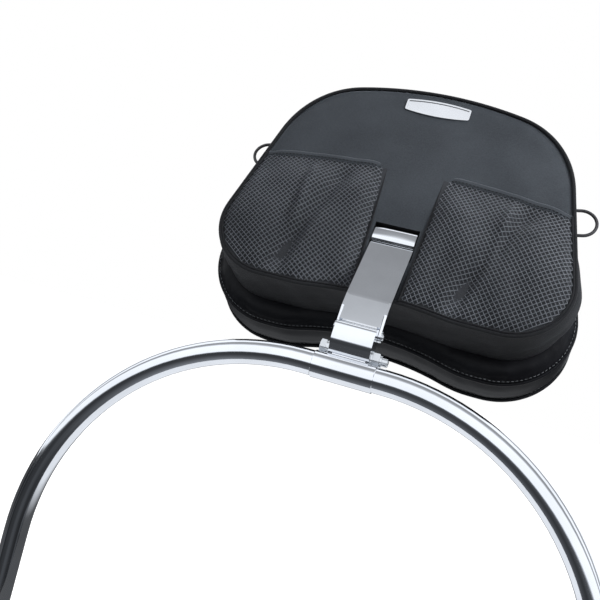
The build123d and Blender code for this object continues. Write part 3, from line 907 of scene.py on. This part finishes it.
@dataclass
class Cushion:
    """The padded back: a sewn vinyl cover over foam. Sizes in millimetres."""

    points: int = 190
    welt_points: int = 260
    fit_points: int = 480
    middle: tuple[float, float] = (0.0, 200.0)
    rear_round: float = 11.0
    front_round: float = 10.0
    front_rise: float = 8.5
    round_steps: int = 5
    band_rings: int = 9
    dome_drop: float = 3.0
    draw_in: float = 1.5
    draw_reach: float = 8.0
    voxel: float = 5.0
    hold_reach: float = 2.0
    hold_fade: float = 5.0
    rear_hold: float = 3.0
    swell_cap: float = 7.0
    frames: int = 18
    groove_depth: float = 1.3
    groove_reach: float = 2.0
    pucker_height: float = 0.35
    pucker_gap: float = 7.0
    pucker_reach: float = 5.0
    band_margin: float = 4.0
    band_swell: float = 2.2
    band_reach: float = 16.0
    band_start: float = -0.4
    welt_grow: float = 0.2
    stitch_gap: float = 4.2

    @staticmethod
    def from_seam(depth: np.ndarray | float) -> np.ndarray | float:
        """Distance from the nearer seam."""
        return np.minimum(np.abs(depth - REAR_SEAM), np.abs(depth - FRONT_SEAM))

    def section(self) -> list[tuple[float, float]]:
        """Inset and depth of the cover's rings, from the rear to the crowned front."""
        rear, front = self.rear_round, self.front_round
        turns = [math.radians(90 * k / self.round_steps) for k in range(self.round_steps + 1)]
        rows = [(rear - rear * math.sin(t), CUSHION_REAR + rear - rear * math.cos(t)) for t in turns]
        rows += [(0.0, float(depth)) for depth in np.linspace(REAR_SEAM, FRONT_SEAM, self.band_rings)]
        rows += [(front - front * math.cos(t), FRONT_SEAM + self.front_rise * math.sin(t)) for t in turns[1:]]
        return rows

    def skin(self) -> Piece:
        """The cover before it swells, drawn in between its seams."""
        start = CUSHION.ring(self.points, -self.rear_round, CUSHION_REAR)
        rings = [shrunk(start, share, self.middle) for share in (0.02, 0.25, 0.5, 0.75, 0.92)]
        for inset, depth in self.section():
            draw = self.draw_in * float(smooth(self.from_seam(depth) / self.draw_reach))
            rings.append(CUSHION.ring(self.points, -inset - draw, depth))
        last = rings[-1]
        rise = CUSHION_FRONT - self.dome_drop - last[0, 1]
        for share in (0.93, 0.8, 0.62, 0.42, 0.22, 0.02):
            ring = shrunk(last, share, self.middle)
            ring[:, 1] = last[0, 1] + rise * (1 - share**2)
            rings.append(ring)
        return build("cushion_cover", *loft(rings), finish(Slot.VINYL))

    def swell(self, piece: Piece) -> None:
        """Lets the cover puff out between its pinned seams.

        Args:
            piece: The cover.
        """
        modify(piece, "REMESH", mode="VOXEL", voxel_size=self.voxel * MM)
        piece.data = baked(piece)
        rest = read(piece.data, "co")
        depth, _ = lie(rest)
        hold = 1.0 - smooth((self.from_seam(depth) - self.hold_reach) / self.hold_fade)
        hold = np.maximum(hold, (depth < CUSHION_REAR + self.rear_hold).astype(float))
        group = piece.vertex_groups.new(name="held")
        for index, share in enumerate(hold):
            group.add([index], float(share), "REPLACE")
        cloth = modify(piece, "CLOTH")
        tune(
            cloth.settings, quality=6, mass=0.3, tension_stiffness=18, compression_stiffness=18,
            bending_stiffness=2.0, use_pressure=True, uniform_pressure_force=4.0, vertex_group_mass="held",
        )
        cloth.settings.effector_weights.gravity = 0.0
        for frame in range(1, self.frames + 1):
            bpy.context.scene.frame_set(frame)
        step = read(baked(piece), "co") - rest
        length = np.linalg.norm(step, axis=1)
        LOG.info("swell: mean %.2f mm, most %.2f mm", length.mean() / MM, length.max() / MM)
        cap = self.swell_cap * MM
        rest = rest + step * np.where(length > cap, cap / np.maximum(length, 1e-9), 1.0)[:, None]
        bpy.context.scene.frame_set(1)
        piece.data.vertices.foreach_set("co", rest.ravel())
        piece.data.update()

    @staticmethod
    def relax(piece: Piece) -> None:
        """Evens out the voxels' steps and rounds the result.

        Args:
            piece: The cover.
        """
        modify(piece, "CORRECTIVE_SMOOTH", iterations=6, use_only_smooth=True)
        modify(piece, "SUBSURF", levels=1, render_levels=1)
        piece.data = baked(piece)
        piece.vertex_groups.clear()
        soften(piece.data)

    def groove(self, piece: Piece) -> None:
        """Sinks the two seams and puckers the vinyl beside them.

        Args:
            piece: The cover.
        """
        mesh = piece.data
        spots, normal = read(mesh, "co"), read(mesh, "normal")
        depth, height = lie(spots)
        spots += self.fitted(spots, depth, height)
        along = np.arctan2(spots[:, 2] - 0.5, spots[:, 0])
        move = np.zeros(len(spots))
        for seam, seed in ((REAR_SEAM, 3), (FRONT_SEAM, 5)):
            gap = np.abs(depth - seam)
            move -= self.groove_depth * np.exp(-((gap / self.groove_reach) ** 2))
            pucker = np.sin(along * 47 + 2.0 * np.sin(along * 9 + seed)) * np.sin(along * 13 + seed)
            move += self.pucker_height * pucker * np.exp(-(((gap - self.pucker_gap) / self.pucker_reach) ** 2))
        spots += normal * (move * MM)[:, None]
        mesh.vertices.foreach_set("co", spots.ravel())
        mesh.update()

    def fitted(self, spots: np.ndarray, depth: np.ndarray, height: np.ndarray) -> np.ndarray:
        """The steps that bring the side band back to the outline, fully at its seams.

        Args:
            spots: The cover's vertices in metres.
            depth: How far forwards each lies, in millimetres.
            height: How far up the back each lies, in millimetres.

        Returns:
            One step for each vertex, in metres.
        """
        loop = CUSHION.loop(self.fit_points)
        band = np.flatnonzero((depth > REAR_SEAM - self.band_margin) & (depth < FRONT_SEAM + self.band_margin))
        flat = np.column_stack((spots[band, 0] / MM, height[band]))
        near = np.argmin(((flat[:, None, :] - loop[None, :, :]) ** 2).sum(axis=2), axis=1)
        normal = CUSHION.normals(loop)[near]
        offset = ((flat - loop[near]) * normal).sum(axis=1)
        LOG.info("side band: %.2f mm off its outline, from %.2f to %.2f", offset.mean(), offset.min(), offset.max())
        want = self.band_swell * smooth(self.from_seam(depth[band]) / self.band_reach) + self.band_start
        push = np.where(offset < want, want - offset, 0.0)
        step = np.zeros_like(spots)
        step[band, 0] = normal[:, 0] * push * MM
        step[band, 1] = normal[:, 1] * push * LEAN_SIN * MM
        step[band, 2] = normal[:, 1] * push * LEAN_COS * MM
        return step

    def make(self) -> None:
        """Builds and dresses the cover, its two welts and the stitches beside them."""
        cover = self.skin()
        self.swell(cover)
        self.relax(cover)
        self.groove(cover)
        cover.data.materials.clear()
        cover.data.materials.append(finish(Slot.VINYL))
        dress(cover, ["pad_rear_cover", "pad_side_band", "pad_front_cover", "pad_foam"])
        for word, depth in (("rear", REAR_SEAM), ("front", FRONT_SEAM)):
            line = wire(word + "_welt", [CUSHION.ring(self.welt_points, self.welt_grow, depth)], True)
            cord(line, Slot.VINYL, radius=0.0019, sides=10, stands_for=["pad_" + word + "_piping"])
        gap = self.stitch_gap
        rows = ((-0.3, REAR_SEAM + gap), (-0.3, FRONT_SEAM - gap), (-0.9, REAR_SEAM - gap))
        lines = [CUSHION.ring(self.welt_points, grow, depth) for grow, depth in rows]
        row = wire("cushion_stitches", lines, True)
        stitch(row, THREAD, pitch=0.0042, length=0.0030, thickness=0.0007)


# Pouch


@dataclass
class Pouch:
    """The storage pouch: gusset, face panel, piping and the bar's channel. Sizes in millimetres."""

    points: int = 240
    piping_points: int = 260
    centre: tuple[float, float] = (0.0, 205.0)
    puff: float = 2.6
    rim_drop: float = 1.2
    rim_start: float = 0.93
    wave_height: float = 0.8
    wave_size: float = 70.0
    wave_seed: int = 11
    flatness: float = 0.95
    gusset_rings: int = 19
    side_bulge: float = 9.0
    bulge_height: float = 155.0
    bulge_spread: float = 40.0
    slack: float = 2.0
    ring_height: float = 228.0
    ring_room: float = 18.0
    ring_fade: float = 12.0
    slot_half: float = 21.7
    slot_low: float = 129.0
    slot_high: float = 164.3
    neck_top: float = 28.5
    neck_bottom: float = 21.8
    hem_height: float = 231.0
    hem_fall: float = 0.11
    hem_lap: float = 6.0
    seam_points: int = 40

    # Heights, half widths and half heights of the flat places round the badge and the slot.
    FLAT_SPOTS = ((305, 48, 20), (147, 45, 34))

    @property
    def flare(self) -> float:
        """How much wider each side of the neck grows with height."""
        return (self.neck_top - self.neck_bottom) / (self.hem_height - POUCH.bottom)

    def neck(self, z: np.ndarray | float) -> np.ndarray | float:
        """Half width of the neck at a height."""
        return self.neck_bottom + self.flare * (z - POUCH.bottom)

    def hem_line(self, x: np.ndarray | float) -> np.ndarray | float:
        """Height of the pockets' upper edge at a distance from the middle."""
        return self.hem_height - self.hem_fall * (np.abs(x) - self.neck_top)

    def surface(self, x: np.ndarray, z: np.ndarray, share: float) -> np.ndarray:
        """Shapes the face, which lies flat round the badge and the slot.

        Args:
            x: Positions to the right, in millimetres.
            z: Positions up the back, in millimetres.
            share: How far out to the edge they lie.

        Returns:
            How far the face stands back from its plane, in millimetres.
        """
        full = self.puff * (1 - share**4) - self.rim_drop * smooth((share - self.rim_start) / (1 - self.rim_start))
        flat = sum(np.exp(-((x / wide) ** 2 + ((z - height) / tall) ** 2)) for height, wide, tall in self.FLAT_SPOTS)
        waves = self.wave_height * ripple(x, z, self.wave_seed, self.wave_size) * smooth((1 - share) / 0.2)
        return (full + waves) * (1 - self.flatness * np.clip(flat, 0, 1))

    def face(self) -> None:
        """The face panel, charcoal in its T and dark under the pockets."""
        edge = POUCH.ring(self.points, -0.6, FACE)
        rings = []
        for share in np.concatenate((np.linspace(0.02, 0.9, 26), (0.94, 0.97, 1.0))):
            ring = shrunk(edge, float(share), self.centre)
            ring[:, 1] = FACE - self.surface(ring[:, 0], ring[:, 2], float(share))
            rings.append(ring)
        edge[:, 1] = FACE + self.rim_drop
        points, faces = loft(rings + [edge], closed_ends=False)
        faces.append(tuple(range(self.points))[::-1])
        piece = build("face_panel", points, faces, finish(Slot.PANEL), finish(LINING), closed=False)
        self.cut(piece)
        dress(piece, ["pouch_face_panel"])

    def cut(self, piece: Piece) -> None:
        """Opens the slot and marks off the pockets' floors.

        Args:
            piece: The face panel.
        """
        shape = bmesh.new()
        shape.from_mesh(piece.data)
        planes = []
        for side in (-1, 1):
            planes += [
                ((side * self.slot_half, 0, 0), (1, 0, 0)),
                ((side * self.neck_bottom, 0, POUCH.bottom), (side, 0, -self.flare)),
                ((side * self.neck_top, 0, self.hem_height - self.hem_lap), (side * self.hem_fall, 0, 1)),
            ]
        planes += [((0, 0, height), (0, 0, 1)) for height in (self.slot_low, self.slot_high)]
        for point, normal in planes:
            base, tip = stand(np.array([point, np.add(point, normal)]))
            bmesh.ops.bisect_plane(
                shape, geom=shape.verts[:] + shape.edges[:] + shape.faces[:], plane_co=Vector(base),
                plane_no=Vector(tip - base).normalized(), dist=1e-7,
            )
        gone = []
        for one in shape.faces:
            centre = np.array(one.calc_center_median())
            x, height = centre[0] / MM, lie(centre)[1]
            if abs(x) < self.slot_half and self.slot_low < height < self.slot_high:
                gone.append(one)
            elif abs(x) > self.neck(height) and height < self.hem_line(x) - self.hem_lap:
                one.material_index = 1
        bmesh.ops.delete(shape, geom=gone, context="FACES")
        shape.to_mesh(piece.data)
        shape.free()
        piece.data.update()

    def gusset(self) -> None:
        """The stuffed body behind the face, full at its sides and slack below, with the bar's channel."""
        out = POUCH.normals(POUCH.loop(self.points))
        turn = np.arange(self.points) / self.points * 2 * math.pi
        rings: list[np.ndarray] = []
        for t in np.linspace(0.0, 1.0, self.gusset_rings):
            ring = POUCH.ring(self.points, 0.0, FACE + 1.0 + (POUCH_BACK - FACE - 1.0) * float(t))
            wave = 0.9 * np.sin(turn * 17 + 3 * math.sin(5 * t)) + 0.6 * np.sin(turn * 31 + 5 * t)
            wave += 0.8 * np.sin(turn * 7 - 6 * t)
            height = ring[:, 2]
            # The D rings swing close by, so the sides stay flat beside them.
            free = smooth((np.abs(height - self.ring_height) - self.ring_room) / self.ring_fade)
            side = (0.35 + 0.65 * np.exp(-(((height - self.bulge_height) / self.bulge_spread) ** 2))) * free
            full = self.side_bulge * side * out[:, 0] ** 2 - self.slack * (1 - out[:, 0] ** 2)
            still = 1 - (1 - free) * (np.abs(out[:, 0]) > 0.7)
            shift = (full + 0.55 * wave * still - 0.5 * (1 - still)) * math.sin(math.pi * t) ** 0.8
            ring[:, ::2] += shift[:, None] * out
            rings.append(ring)
        piece = build("pouch_gusset", *loft(rings), finish(Slot.GUSSET))
        self.channel(piece)
        dress(piece, ["pouch_body"])

    def channel(self, piece: Piece) -> None:
        """Cuts the bar's channel into the stuffed body.

        Args:
            piece: The closed body.
        """
        width, depth, height = (
            (-self.slot_half, self.slot_half), (FACE - 6.0, POUCH_BACK - 5.0), (self.slot_low, self.slot_high)
        )
        corners = [(x, y, z) for x in width for y in depth for z in height]
        sides = [(0, 1, 3, 2), (4, 6, 7, 5), (0, 4, 5, 1), (2, 3, 7, 6), (0, 2, 6, 4), (1, 5, 7, 3)]
        tool = build("channel_room", np.array(corners), sides, finish(Slot.BINDING), soft=False)
        modify(piece, "BOOLEAN", operation="DIFFERENCE", solver="EXACT", object=tool)
        piece.data = baked(piece)
        bpy.data.objects.remove(tool)

    def trims(self) -> None:
        """Piping round the face and the neck's seams."""
        edge = wire("face_piping", [POUCH.ring(self.piping_points, 0.2, FACE + 0.2)], True)
        cord(edge, Slot.BINDING, radius=0.0019, sides=12, stands_for=["pouch_piping"])
        heights = np.linspace(POUCH.bottom + 6, self.hem_height - 2, self.seam_points)
        depths = np.full(self.seam_points, FACE - 2.0)
        lines = [np.column_stack((side * (self.neck(heights) + 0.4), depths, heights)) for side in (-1, 1)]
        cord(wire("neck_seams", lines, False), Slot.BINDING, radius=0.0009, sides=8)

    def make(self) -> None:
        """Builds and dresses the pouch."""
        self.gusset()
        self.face()
        self.trims()


# Pockets


@dataclass
class Pocket:
    """A net pocket beside the bar, with its hem. Sizes in millimetres, worked out on the right."""

    pouch: Pouch
    side: int
    cell: float = 3.8
    cell_share: float = 0.94
    span: int = 52
    middle: tuple[float, float] = (90.0, 150.0)
    tilt: float = math.radians(37.0)
    bulge: float = 13.0
    yarn: float = 0.37
    weave: float = 2.0
    hem_points: int = 60
    hem_steps: int = 12
    hem_drop: float = 3.4
    hem_half: float = 3.6
    hem_thick: float = 0.8
    hem_ease: float = 14.0
    hem_stand: float = 0.7
    stitch_drop: float = 4.6
    parts: list[Piece] = field(default_factory=list)

    @property
    def word(self) -> str:
        """Left or right."""
        return "left" if self.side < 0 else "right"

    def border(self) -> np.ndarray:
        """The sewn edge from the neck's top round to the outer top corner."""
        right = POUCH.loop(600, -2.2)[:301]
        outer = right[right[:, 1] <= self.pouch.hem_line(right[:, 0])]
        outer = outer[outer[:, 0] > self.pouch.neck(outer[:, 1]) + 0.6]
        heights = np.linspace(self.pouch.hem_height, outer[-1, 1], 60)
        return np.vstack((np.column_stack((self.pouch.neck(heights) + 0.8, heights)), outer[::-1]))

    def reach(self, x: np.ndarray, z: np.ndarray) -> np.ndarray:
        """Distance from the sewn edge."""
        edge = self.border()
        return np.hypot(x[:, None] - edge[None, :, 0], z[:, None] - edge[None, :, 1]).min(axis=1)

    def lift(self, x: np.ndarray, z: np.ndarray) -> np.ndarray:
        """Shapes the full net.

        Args:
            x: Distances from the middle, in millimetres.
            z: Positions up the back, in millimetres.

        Returns:
            How far the net stands off the face.
        """
        away = self.reach(x, z)
        top = self.pouch.hem_line(x)
        rise = np.clip((z - POUCH.bottom) / (top - POUCH.bottom), 0, 1)
        full = self.bulge * (0.45 + 0.55 * smooth(rise * 1.3)) * (1 - 0.55 * smooth((z - top + 42) / 40))
        body = full * (1 - np.exp(-away / 11.0))
        return np.clip(body + self.folds(x, z) * smooth(away / 16.0), 0.4, self.bulge + 2.6)

    def folds(self, x: np.ndarray, z: np.ndarray) -> np.ndarray:
        """Soft folds that hang from the hem, a crease and a valley, which differ from side to side.

        Args:
            x: Distances from the middle, in millimetres.
            z: Positions up the back, in millimetres.

        Returns:
            How far they stand off the net's even shape.
        """
        if self.side > 0:
            seed, line, valley = 21, 92.0 + 0.10 * (z - 150.0), 118.0 - 0.42 * (215.0 - z)
        else:
            seed, line, valley = 34, 98.0 - 0.06 * (z - 150.0), 64.0 + 0.30 * (215.0 - z)
        soft = 2.3 * ripple(x * 1.5, z * 0.5, seed, 40.0)
        crease = 3.6 * np.exp(-(((x - line) / 4.0) ** 2)) * smooth((z - 120) / 40)
        dip = -6.0 * np.exp(-(((x - valley) / 8.0) ** 2))
        fade = 1 - 0.85 * smooth((z - self.pouch.hem_line(x) + 30) / 24)
        return (soft + crease + dip) * fade

    def inside(self, x: np.ndarray, z: np.ndarray, margin: float) -> np.ndarray:
        """Finds the pocket's field.

        Args:
            x: Distances from the middle, in millimetres.
            z: Positions up the back, in millimetres.
            margin: How far from the sewn edge it starts.

        Returns:
            Whether each point lies in it.
        """
        edge = self.border()
        poly = np.vstack((edge, edge[[-1, 0]] + (0, 40)))
        hit = np.zeros(len(x), dtype=bool)
        for (x1, z1), (x2, z2) in zip(poly, np.roll(poly, -1, axis=0)):
            with np.errstate(divide="ignore", invalid="ignore"):
                at = (x2 - x1) * (z - z1) / (z2 - z1) + x1
            hit ^= ((z1 > z) != (z2 > z)) & (x < at)
        return hit & (z < self.pouch.hem_line(x) - 4.5) & (self.reach(x, z) > margin)

    def net(self) -> Piece:
        """The net itself: yarns both ways across the field, lifted off the face."""
        c, s = math.cos(self.tilt), math.sin(self.tilt)
        grid = [(i, j) for i in range(-self.span, self.span) for j in range(-self.span, self.span)]
        u, v = np.array(grid).T * self.cell
        v *= self.cell_share
        x, z = self.middle[0] + u * c - v * s, self.middle[1] + u * s + v * c
        keep = self.inside(x, z, 0.2)
        number = {knot: index for index, knot in enumerate(k for k, kept in zip(grid, keep) if kept)}
        x, z = x[keep], z[keep]
        points = np.column_stack((x * self.side, FACE - 0.6 - self.lift(x, z), z))
        edges = []
        for (i, j), index in number.items():
            edges += [(index, number[other]) for other in ((i + 1, j), (i, j + 1)) if other in number]
        start = draft(self.word + "_net", points, edges, [])
        return cord(start, Slot.MESH, radius=self.yarn * MM, sides=5, stands_for=[self.word + "_mesh_pocket"])

    def lining(self) -> Piece:
        """The fine dark cloth that the net lies on."""
        columns = np.arange(18.0, 190.0, self.weave)
        rows = np.arange(POUCH.bottom, self.pouch.hem_height + 6, self.weave)
        x, z = (g.ravel() for g in np.meshgrid(columns, rows))
        keep = self.inside(x, z, 0.3)
        number = np.where(keep, np.cumsum(keep) - 1, -1).reshape(len(rows), len(columns))
        x, z = x[keep], z[keep]
        points = np.column_stack((x * self.side, FACE - 0.5 - np.maximum(self.lift(x, z) - 1.0, 0.2), z))
        faces = []
        for low, high in zip(number, number[1:]):
            for corner in zip(low, low[1:], high[1:], high):
                if min(corner) >= 0:
                    faces.append(corner[:: self.side])
        used = sorted({c for f in faces for c in f})
        order = {c: k for k, c in enumerate(used)}
        faces = [tuple(order[c] for c in f) for f in faces]
        piece = build(self.word + "_pocket_lining", points[used], faces, finish(LINING), closed=False)
        return dress(piece)

    def tape(self) -> None:
        """The tape that sews the net down."""
        edge = self.border()
        line = np.column_stack((edge[:, 0] * self.side, np.full(len(edge), FACE - 0.9), edge[:, 1]))
        cord(wire(self.word + "_pocket_tape", [line], False), Slot.BINDING, radius=0.0013, sides=8)

    def hem(self) -> None:
        """The folded and stitched hem along the pocket's mouth."""
        inner = float(self.pouch.neck(self.pouch.hem_height)) + 1.0
        outer = float(self.border()[-1, 0])
        across = np.linspace(inner, outer, self.hem_points)
        top = self.pouch.hem_line(across)
        lift = self.lift(across, top - 4.5)
        lift = lift * smooth(np.minimum(across - inner, outer - across) / self.hem_ease) + self.hem_stand
        turns = [2 * math.pi * m / self.hem_steps for m in range(self.hem_steps)]
        rings = []
        for x, off, z in zip(across * self.side, lift, top - self.hem_drop):
            ring = [(x, FACE - (off + self.hem_thick * math.cos(t)), z + self.hem_half * math.sin(t)) for t in turns]
            rings.append(np.array(ring))
        piece = build(self.word + "_hem", *loft(rings), finish(Slot.PANEL))
        self.parts.append(dress(piece, [self.word + "_pocket_hem"]))
        line = np.column_stack((across * self.side, FACE - lift - 1.2, top - self.stitch_drop))
        row = wire(self.word + "_hem_stitches", [line], False)
        self.parts.append(stitch(row, Slot.BINDING, pitch=0.0036, length=0.0026, thickness=0.0008))

    def make(self) -> None:
        """Builds and dresses the pocket."""
        self.parts.append(self.net())
        self.tape()
        self.hem()
        lining = self.lining()


# Hard parts


@dataclass
class Hardware:
    """The frame's own rigid nodes, which keep their shape and get their finish."""

    nodes: dict[str, Piece]

    COATS = {
        Slot.CHROME: ("hoop_tube", "hoop_sleeve", "pivot_lug", "hinge_bracket", "upright_bar"),
        Slot.STEEL: (
            "pivot_bolt", "pivot_washers", "spring_washer", "lock_nut", "fold_pin", "fold_pin_clip", "bar_screws",
            "tee_nuts",
        ),
        Slot.PLASTIC: ("friction_discs",),
        Slot.PLUG: ("left_leg_plug", "right_leg_plug"),
        Slot.BADGE: ("badge",),
        Slot.RING: ("left_d_ring", "right_d_ring"),
        Slot.BINDING: ("slot_binding", "left_ring_tab", "right_ring_tab"),
        Slot.PLYWOOD: ("pad_board",),
    }

    def make(self) -> None:
        """Gives each node its material."""
        for slot, names in self.COATS.items():
            for name in names:
                materials = self.nodes[name].data.materials
                materials.clear()
                materials.append(finish(slot))
                LOG.info("%s: %s", name, slot.value)


@dataclass
class BarLip:
    """The rolled lip across the bar's top, welded to the bar's face and framed by the slot."""

    half_width: float = 20.7
    edge: float = 0.5

    # Depth and height of the points of its side view, up its rear and down inside the slot.
    PROFILE = (
        (22.2, 143.6), (20.6, 144.4), (19.4, 145.6), (18.8, 147.2), (18.7, 149.2), (18.9, 151.6), (19.3, 154.4),
        (19.9, 157.2), (20.7, 159.4), (21.7, 160.9), (22.9, 161.8), (27.5, 161.0), (28.5, 158.5), (25.5, 151.0),
        (23.2, 144.5),
    )

    def make(self) -> None:
        """Builds and dresses the lip."""
        profile = np.array(self.PROFILE)
        away = profile - profile.mean(axis=0)
        inward = away / np.linalg.norm(away, axis=1)[:, None] * self.edge
        full, end = self.half_width, self.half_width - self.edge
        rings = []
        for x, drawn in ((-full, 1), (-end, 0), (end, 0), (full, 1)):
            rings.append(np.column_stack((np.full(len(profile), x), profile - inward * drawn)))
        dress(build("bar_lip", *loft(rings), finish(Slot.CHROME)))


# Studio


@dataclass
class Studio:
    """Floor, lights and the camera at the photograph's view. The camera's lengths are in millimetres and pixels."""

    eye: tuple[float, float, float] = (132.0, -738.7, 45.9 + CROWN)
    right: tuple[float, float, float] = (0.93150, 0.25990, 0.25448)
    down: tuple[float, float, float] = (0.24007, 0.08633, -0.96691)
    ahead: tuple[float, float, float] = (-0.27327, 0.96177, 0.01802)
    focal: float = 874.2
    centre: tuple[float, float] = (276.4, 281.9)
    frame: int = 600
    sensor: float = 36.0
    ambient: tuple[float, float] = (0.3 * 0.34, 1.5 * 0.34)
    panel_light: float = 1.28
    floor_level: float = -0.004
    floor_edges: tuple[float, float, float, float] = (-4, 4, -0.09, 5)
    floor_tone: float = 0.6
    floor_glow: float = 0.9

    # Brightness that polished metal sees, by the share of a turn about x: from the horizon ahead, through straight
    # down at 0.25, the horizon behind at 0.5 and straight up at 0.75, back to the horizon ahead.
    PANELS = (
        (0.0, 1.0), (0.28, 0.9), (0.295, 0.20), (0.36, 0.11), (0.42, 0.055), (0.465, 0.06), (0.48, 0.15),
        (0.495, 0.95), (0.66, 1.0), (0.70, 0.34), (0.76, 0.25), (0.785, 1.0), (0.865, 1.0), (0.89, 0.30),
        (0.935, 0.30), (0.96, 1.0), (1.0, 1.0),
    )
    # What dims it below the horizon, by the share of the way from the far left to the far right.
    STREAKS = (
        (0.0, 0.25), (0.04, 0.25), (0.07, 1.0), (0.10, 0.3), (0.20, 0.5), (0.33, 0.55), (0.365, 0.55), (0.50, 1.0),
        (0.62, 0.9), (0.74, 0.45), (0.86, 0.3), (0.90, 1.0), (0.94, 0.3), (1.0, 0.3),
    )
    # Brightness of the mirrored floor, from seen straight on to seen at a slant.
    FLOOR_TONES = ((0.0, 1.0), (0.42, 1.0), (0.60, 0.10), (1.0, 0.06))

    @staticmethod
    def cool(levels: Sequence[tuple[float, float]]) -> list[tuple[float, Colour]]:
        """A ramp's stops in bluish white of the given brightness."""
        return [(where, (level, level * 1.03, level * 1.08)) for where, level in levels]

    def camera(self) -> None:
        """The camera, rolled and shifted as the photograph is."""
        lens = tune(
            bpy.data.cameras.new("camera"), sensor_fit="HORIZONTAL", sensor_width=self.sensor,
            lens=self.focal / self.frame * self.sensor, shift_x=(self.frame / 2 - self.centre[0]) / self.frame,
            shift_y=(self.centre[1] - self.frame / 2) / self.frame, clip_start=0.01, clip_end=20.0,
        )
        camera = place("camera", lens)
        turn = Matrix((Vector(self.right), -Vector(self.down), -Vector(self.ahead))).transposed()
        camera.matrix_world = Matrix.Translation(Vector(self.eye) * MM) @ turn.to_4x4()
        bpy.context.scene.camera = camera

    def lamp(self, name: str, spot: Sequence[float], aim: Sequence[float], size: float, watts: float) -> None:
        """A square soft light that polished metal doesn't show.

        Args:
            name: The lamp's name.
            spot: Where it hangs, in metres.
            aim: The point that it faces.
            size: Length of its side.
            watts: Its power.
        """
        piece = place(name, tune(bpy.data.lights.new(name, "AREA"), energy=watts, size=size))
        facing = (Vector(aim) - Vector(spot)).to_track_quat("-Z", "Y").to_euler()
        tune(piece, location=spot, rotation_euler=facing, visible_glossy=False)

    def world(self) -> None:
        """Soft surroundings: white to the camera, and a studio of panels to polished metal."""
        world = bpy.data.worlds.new("studio")
        bpy.context.scene.world = world
        world.use_nodes = True
        n = Graph(world.node_tree)
        toward = n.add("ShaderNodeTexCoord").outputs["Generated"]
        x, y, z = n.add("ShaderNodeSeparateXYZ", {"Vector": toward}).outputs
        turn = n.maths("ARCTAN2", z, n.maths("MULTIPLY", y, -1.0))
        panels = n.ramp(n.span(turn, 0.0, 1.0, -math.pi, math.pi), self.cool(self.PANELS))
        streaks = n.ramp(n.span(x, 0.0, 1.0, -1.0, 1.0), self.cool(self.STREAKS))
        below = n.span(z, 0.0, 1.0, -0.03, -0.12)
        mixed = n.add("ShaderNodeMix", {0: below, 6: panels, 7: streaks}, data_type="RGBA", blend_type="MULTIPLY")
        strength = n.span(z, *self.ambient, -0.25, 0.25)
        soft, studio, white = (
            n.add("ShaderNodeBackground", {"Color": colour, "Strength": power}).outputs[0]
            for colour, power in (
                ((0.93, 0.95, 1.0, 1), strength), (mixed.outputs[2], self.panel_light), ((1, 1, 1, 1), 1.0)
            )
        )
        path = n.add("ShaderNodeLightPath").outputs
        lit = n.choose(path["Is Camera Ray"], n.choose(path["Is Glossy Ray"], soft, studio), white)
        n.add("ShaderNodeOutputWorld", {"Surface": lit})

    def floor(self) -> None:
        """A pale floor under and beyond the legs that looks white and keeps the shadow."""
        mesh = bpy.data.meshes.new("floor")
        left, right, near, far = self.floor_edges
        corners = [(x, y, self.floor_level) for x, y in ((left, near), (right, near), (right, far), (left, far))]
        mesh.from_pydata(corners, [], [(0, 1, 2, 3)])
        material = tune(bpy.data.materials.new("floor"), use_nodes=True)
        n = Graph(material.node_tree)
        path = n.add("ShaderNodeLightPath").outputs
        matte = n.add("ShaderNodeBsdfDiffuse", {"Color": (*[self.floor_tone] * 3, 1)}).outputs[0]
        seen = n.maths("MULTIPLY", path["Is Camera Ray"], self.floor_glow)
        glow = n.add("ShaderNodeEmission", {"Strength": seen}).outputs[0]
        both = n.add("ShaderNodeAddShader", {0: matte, 1: glow}).outputs[0]
        slant = n.add("ShaderNodeLayerWeight").outputs["Facing"]
        mirrored = n.add("ShaderNodeEmission", {"Color": n.ramp(slant, self.cool(self.FLOOR_TONES))}).outputs[0]
        n.add("ShaderNodeOutputMaterial", {"Surface": n.choose(path["Is Glossy Ray"], both, mirrored)})
        mesh.materials.append(material)
        place("floor", mesh)

    def make(self) -> None:
        """Sets the scene."""
        bpy.context.scene.view_settings.view_transform = "Standard"
        self.camera()
        self.world()
        self.floor()
        self.lamp("key", (-0.9, -1.0, 1.7), (0.0, 0.1, 0.45), size=0.9, watts=8.0)
        self.lamp("side", (0.75, -0.2, 0.95), (0.14, 0.1, 0.5), size=0.4, watts=13.0)
        self.lamp("top", (0.1, 0.5, 1.8), (0.0, 0.1, 0.4), size=1.0, watts=9.0)


def main() -> None:
    """Builds every part of the backrest in order."""
    logging.basicConfig(level=logging.INFO, format="%(message)s")
    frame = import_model()
    Hardware(frame["nodes"]).make()
    BarLip().make()
    Cushion().make()
    pouch = Pouch()
    pouch.make()
    for side in (-1, 1):
        Pocket(pouch, side).make()
    Studio().make()


if __name__ == "__main__":
    main()
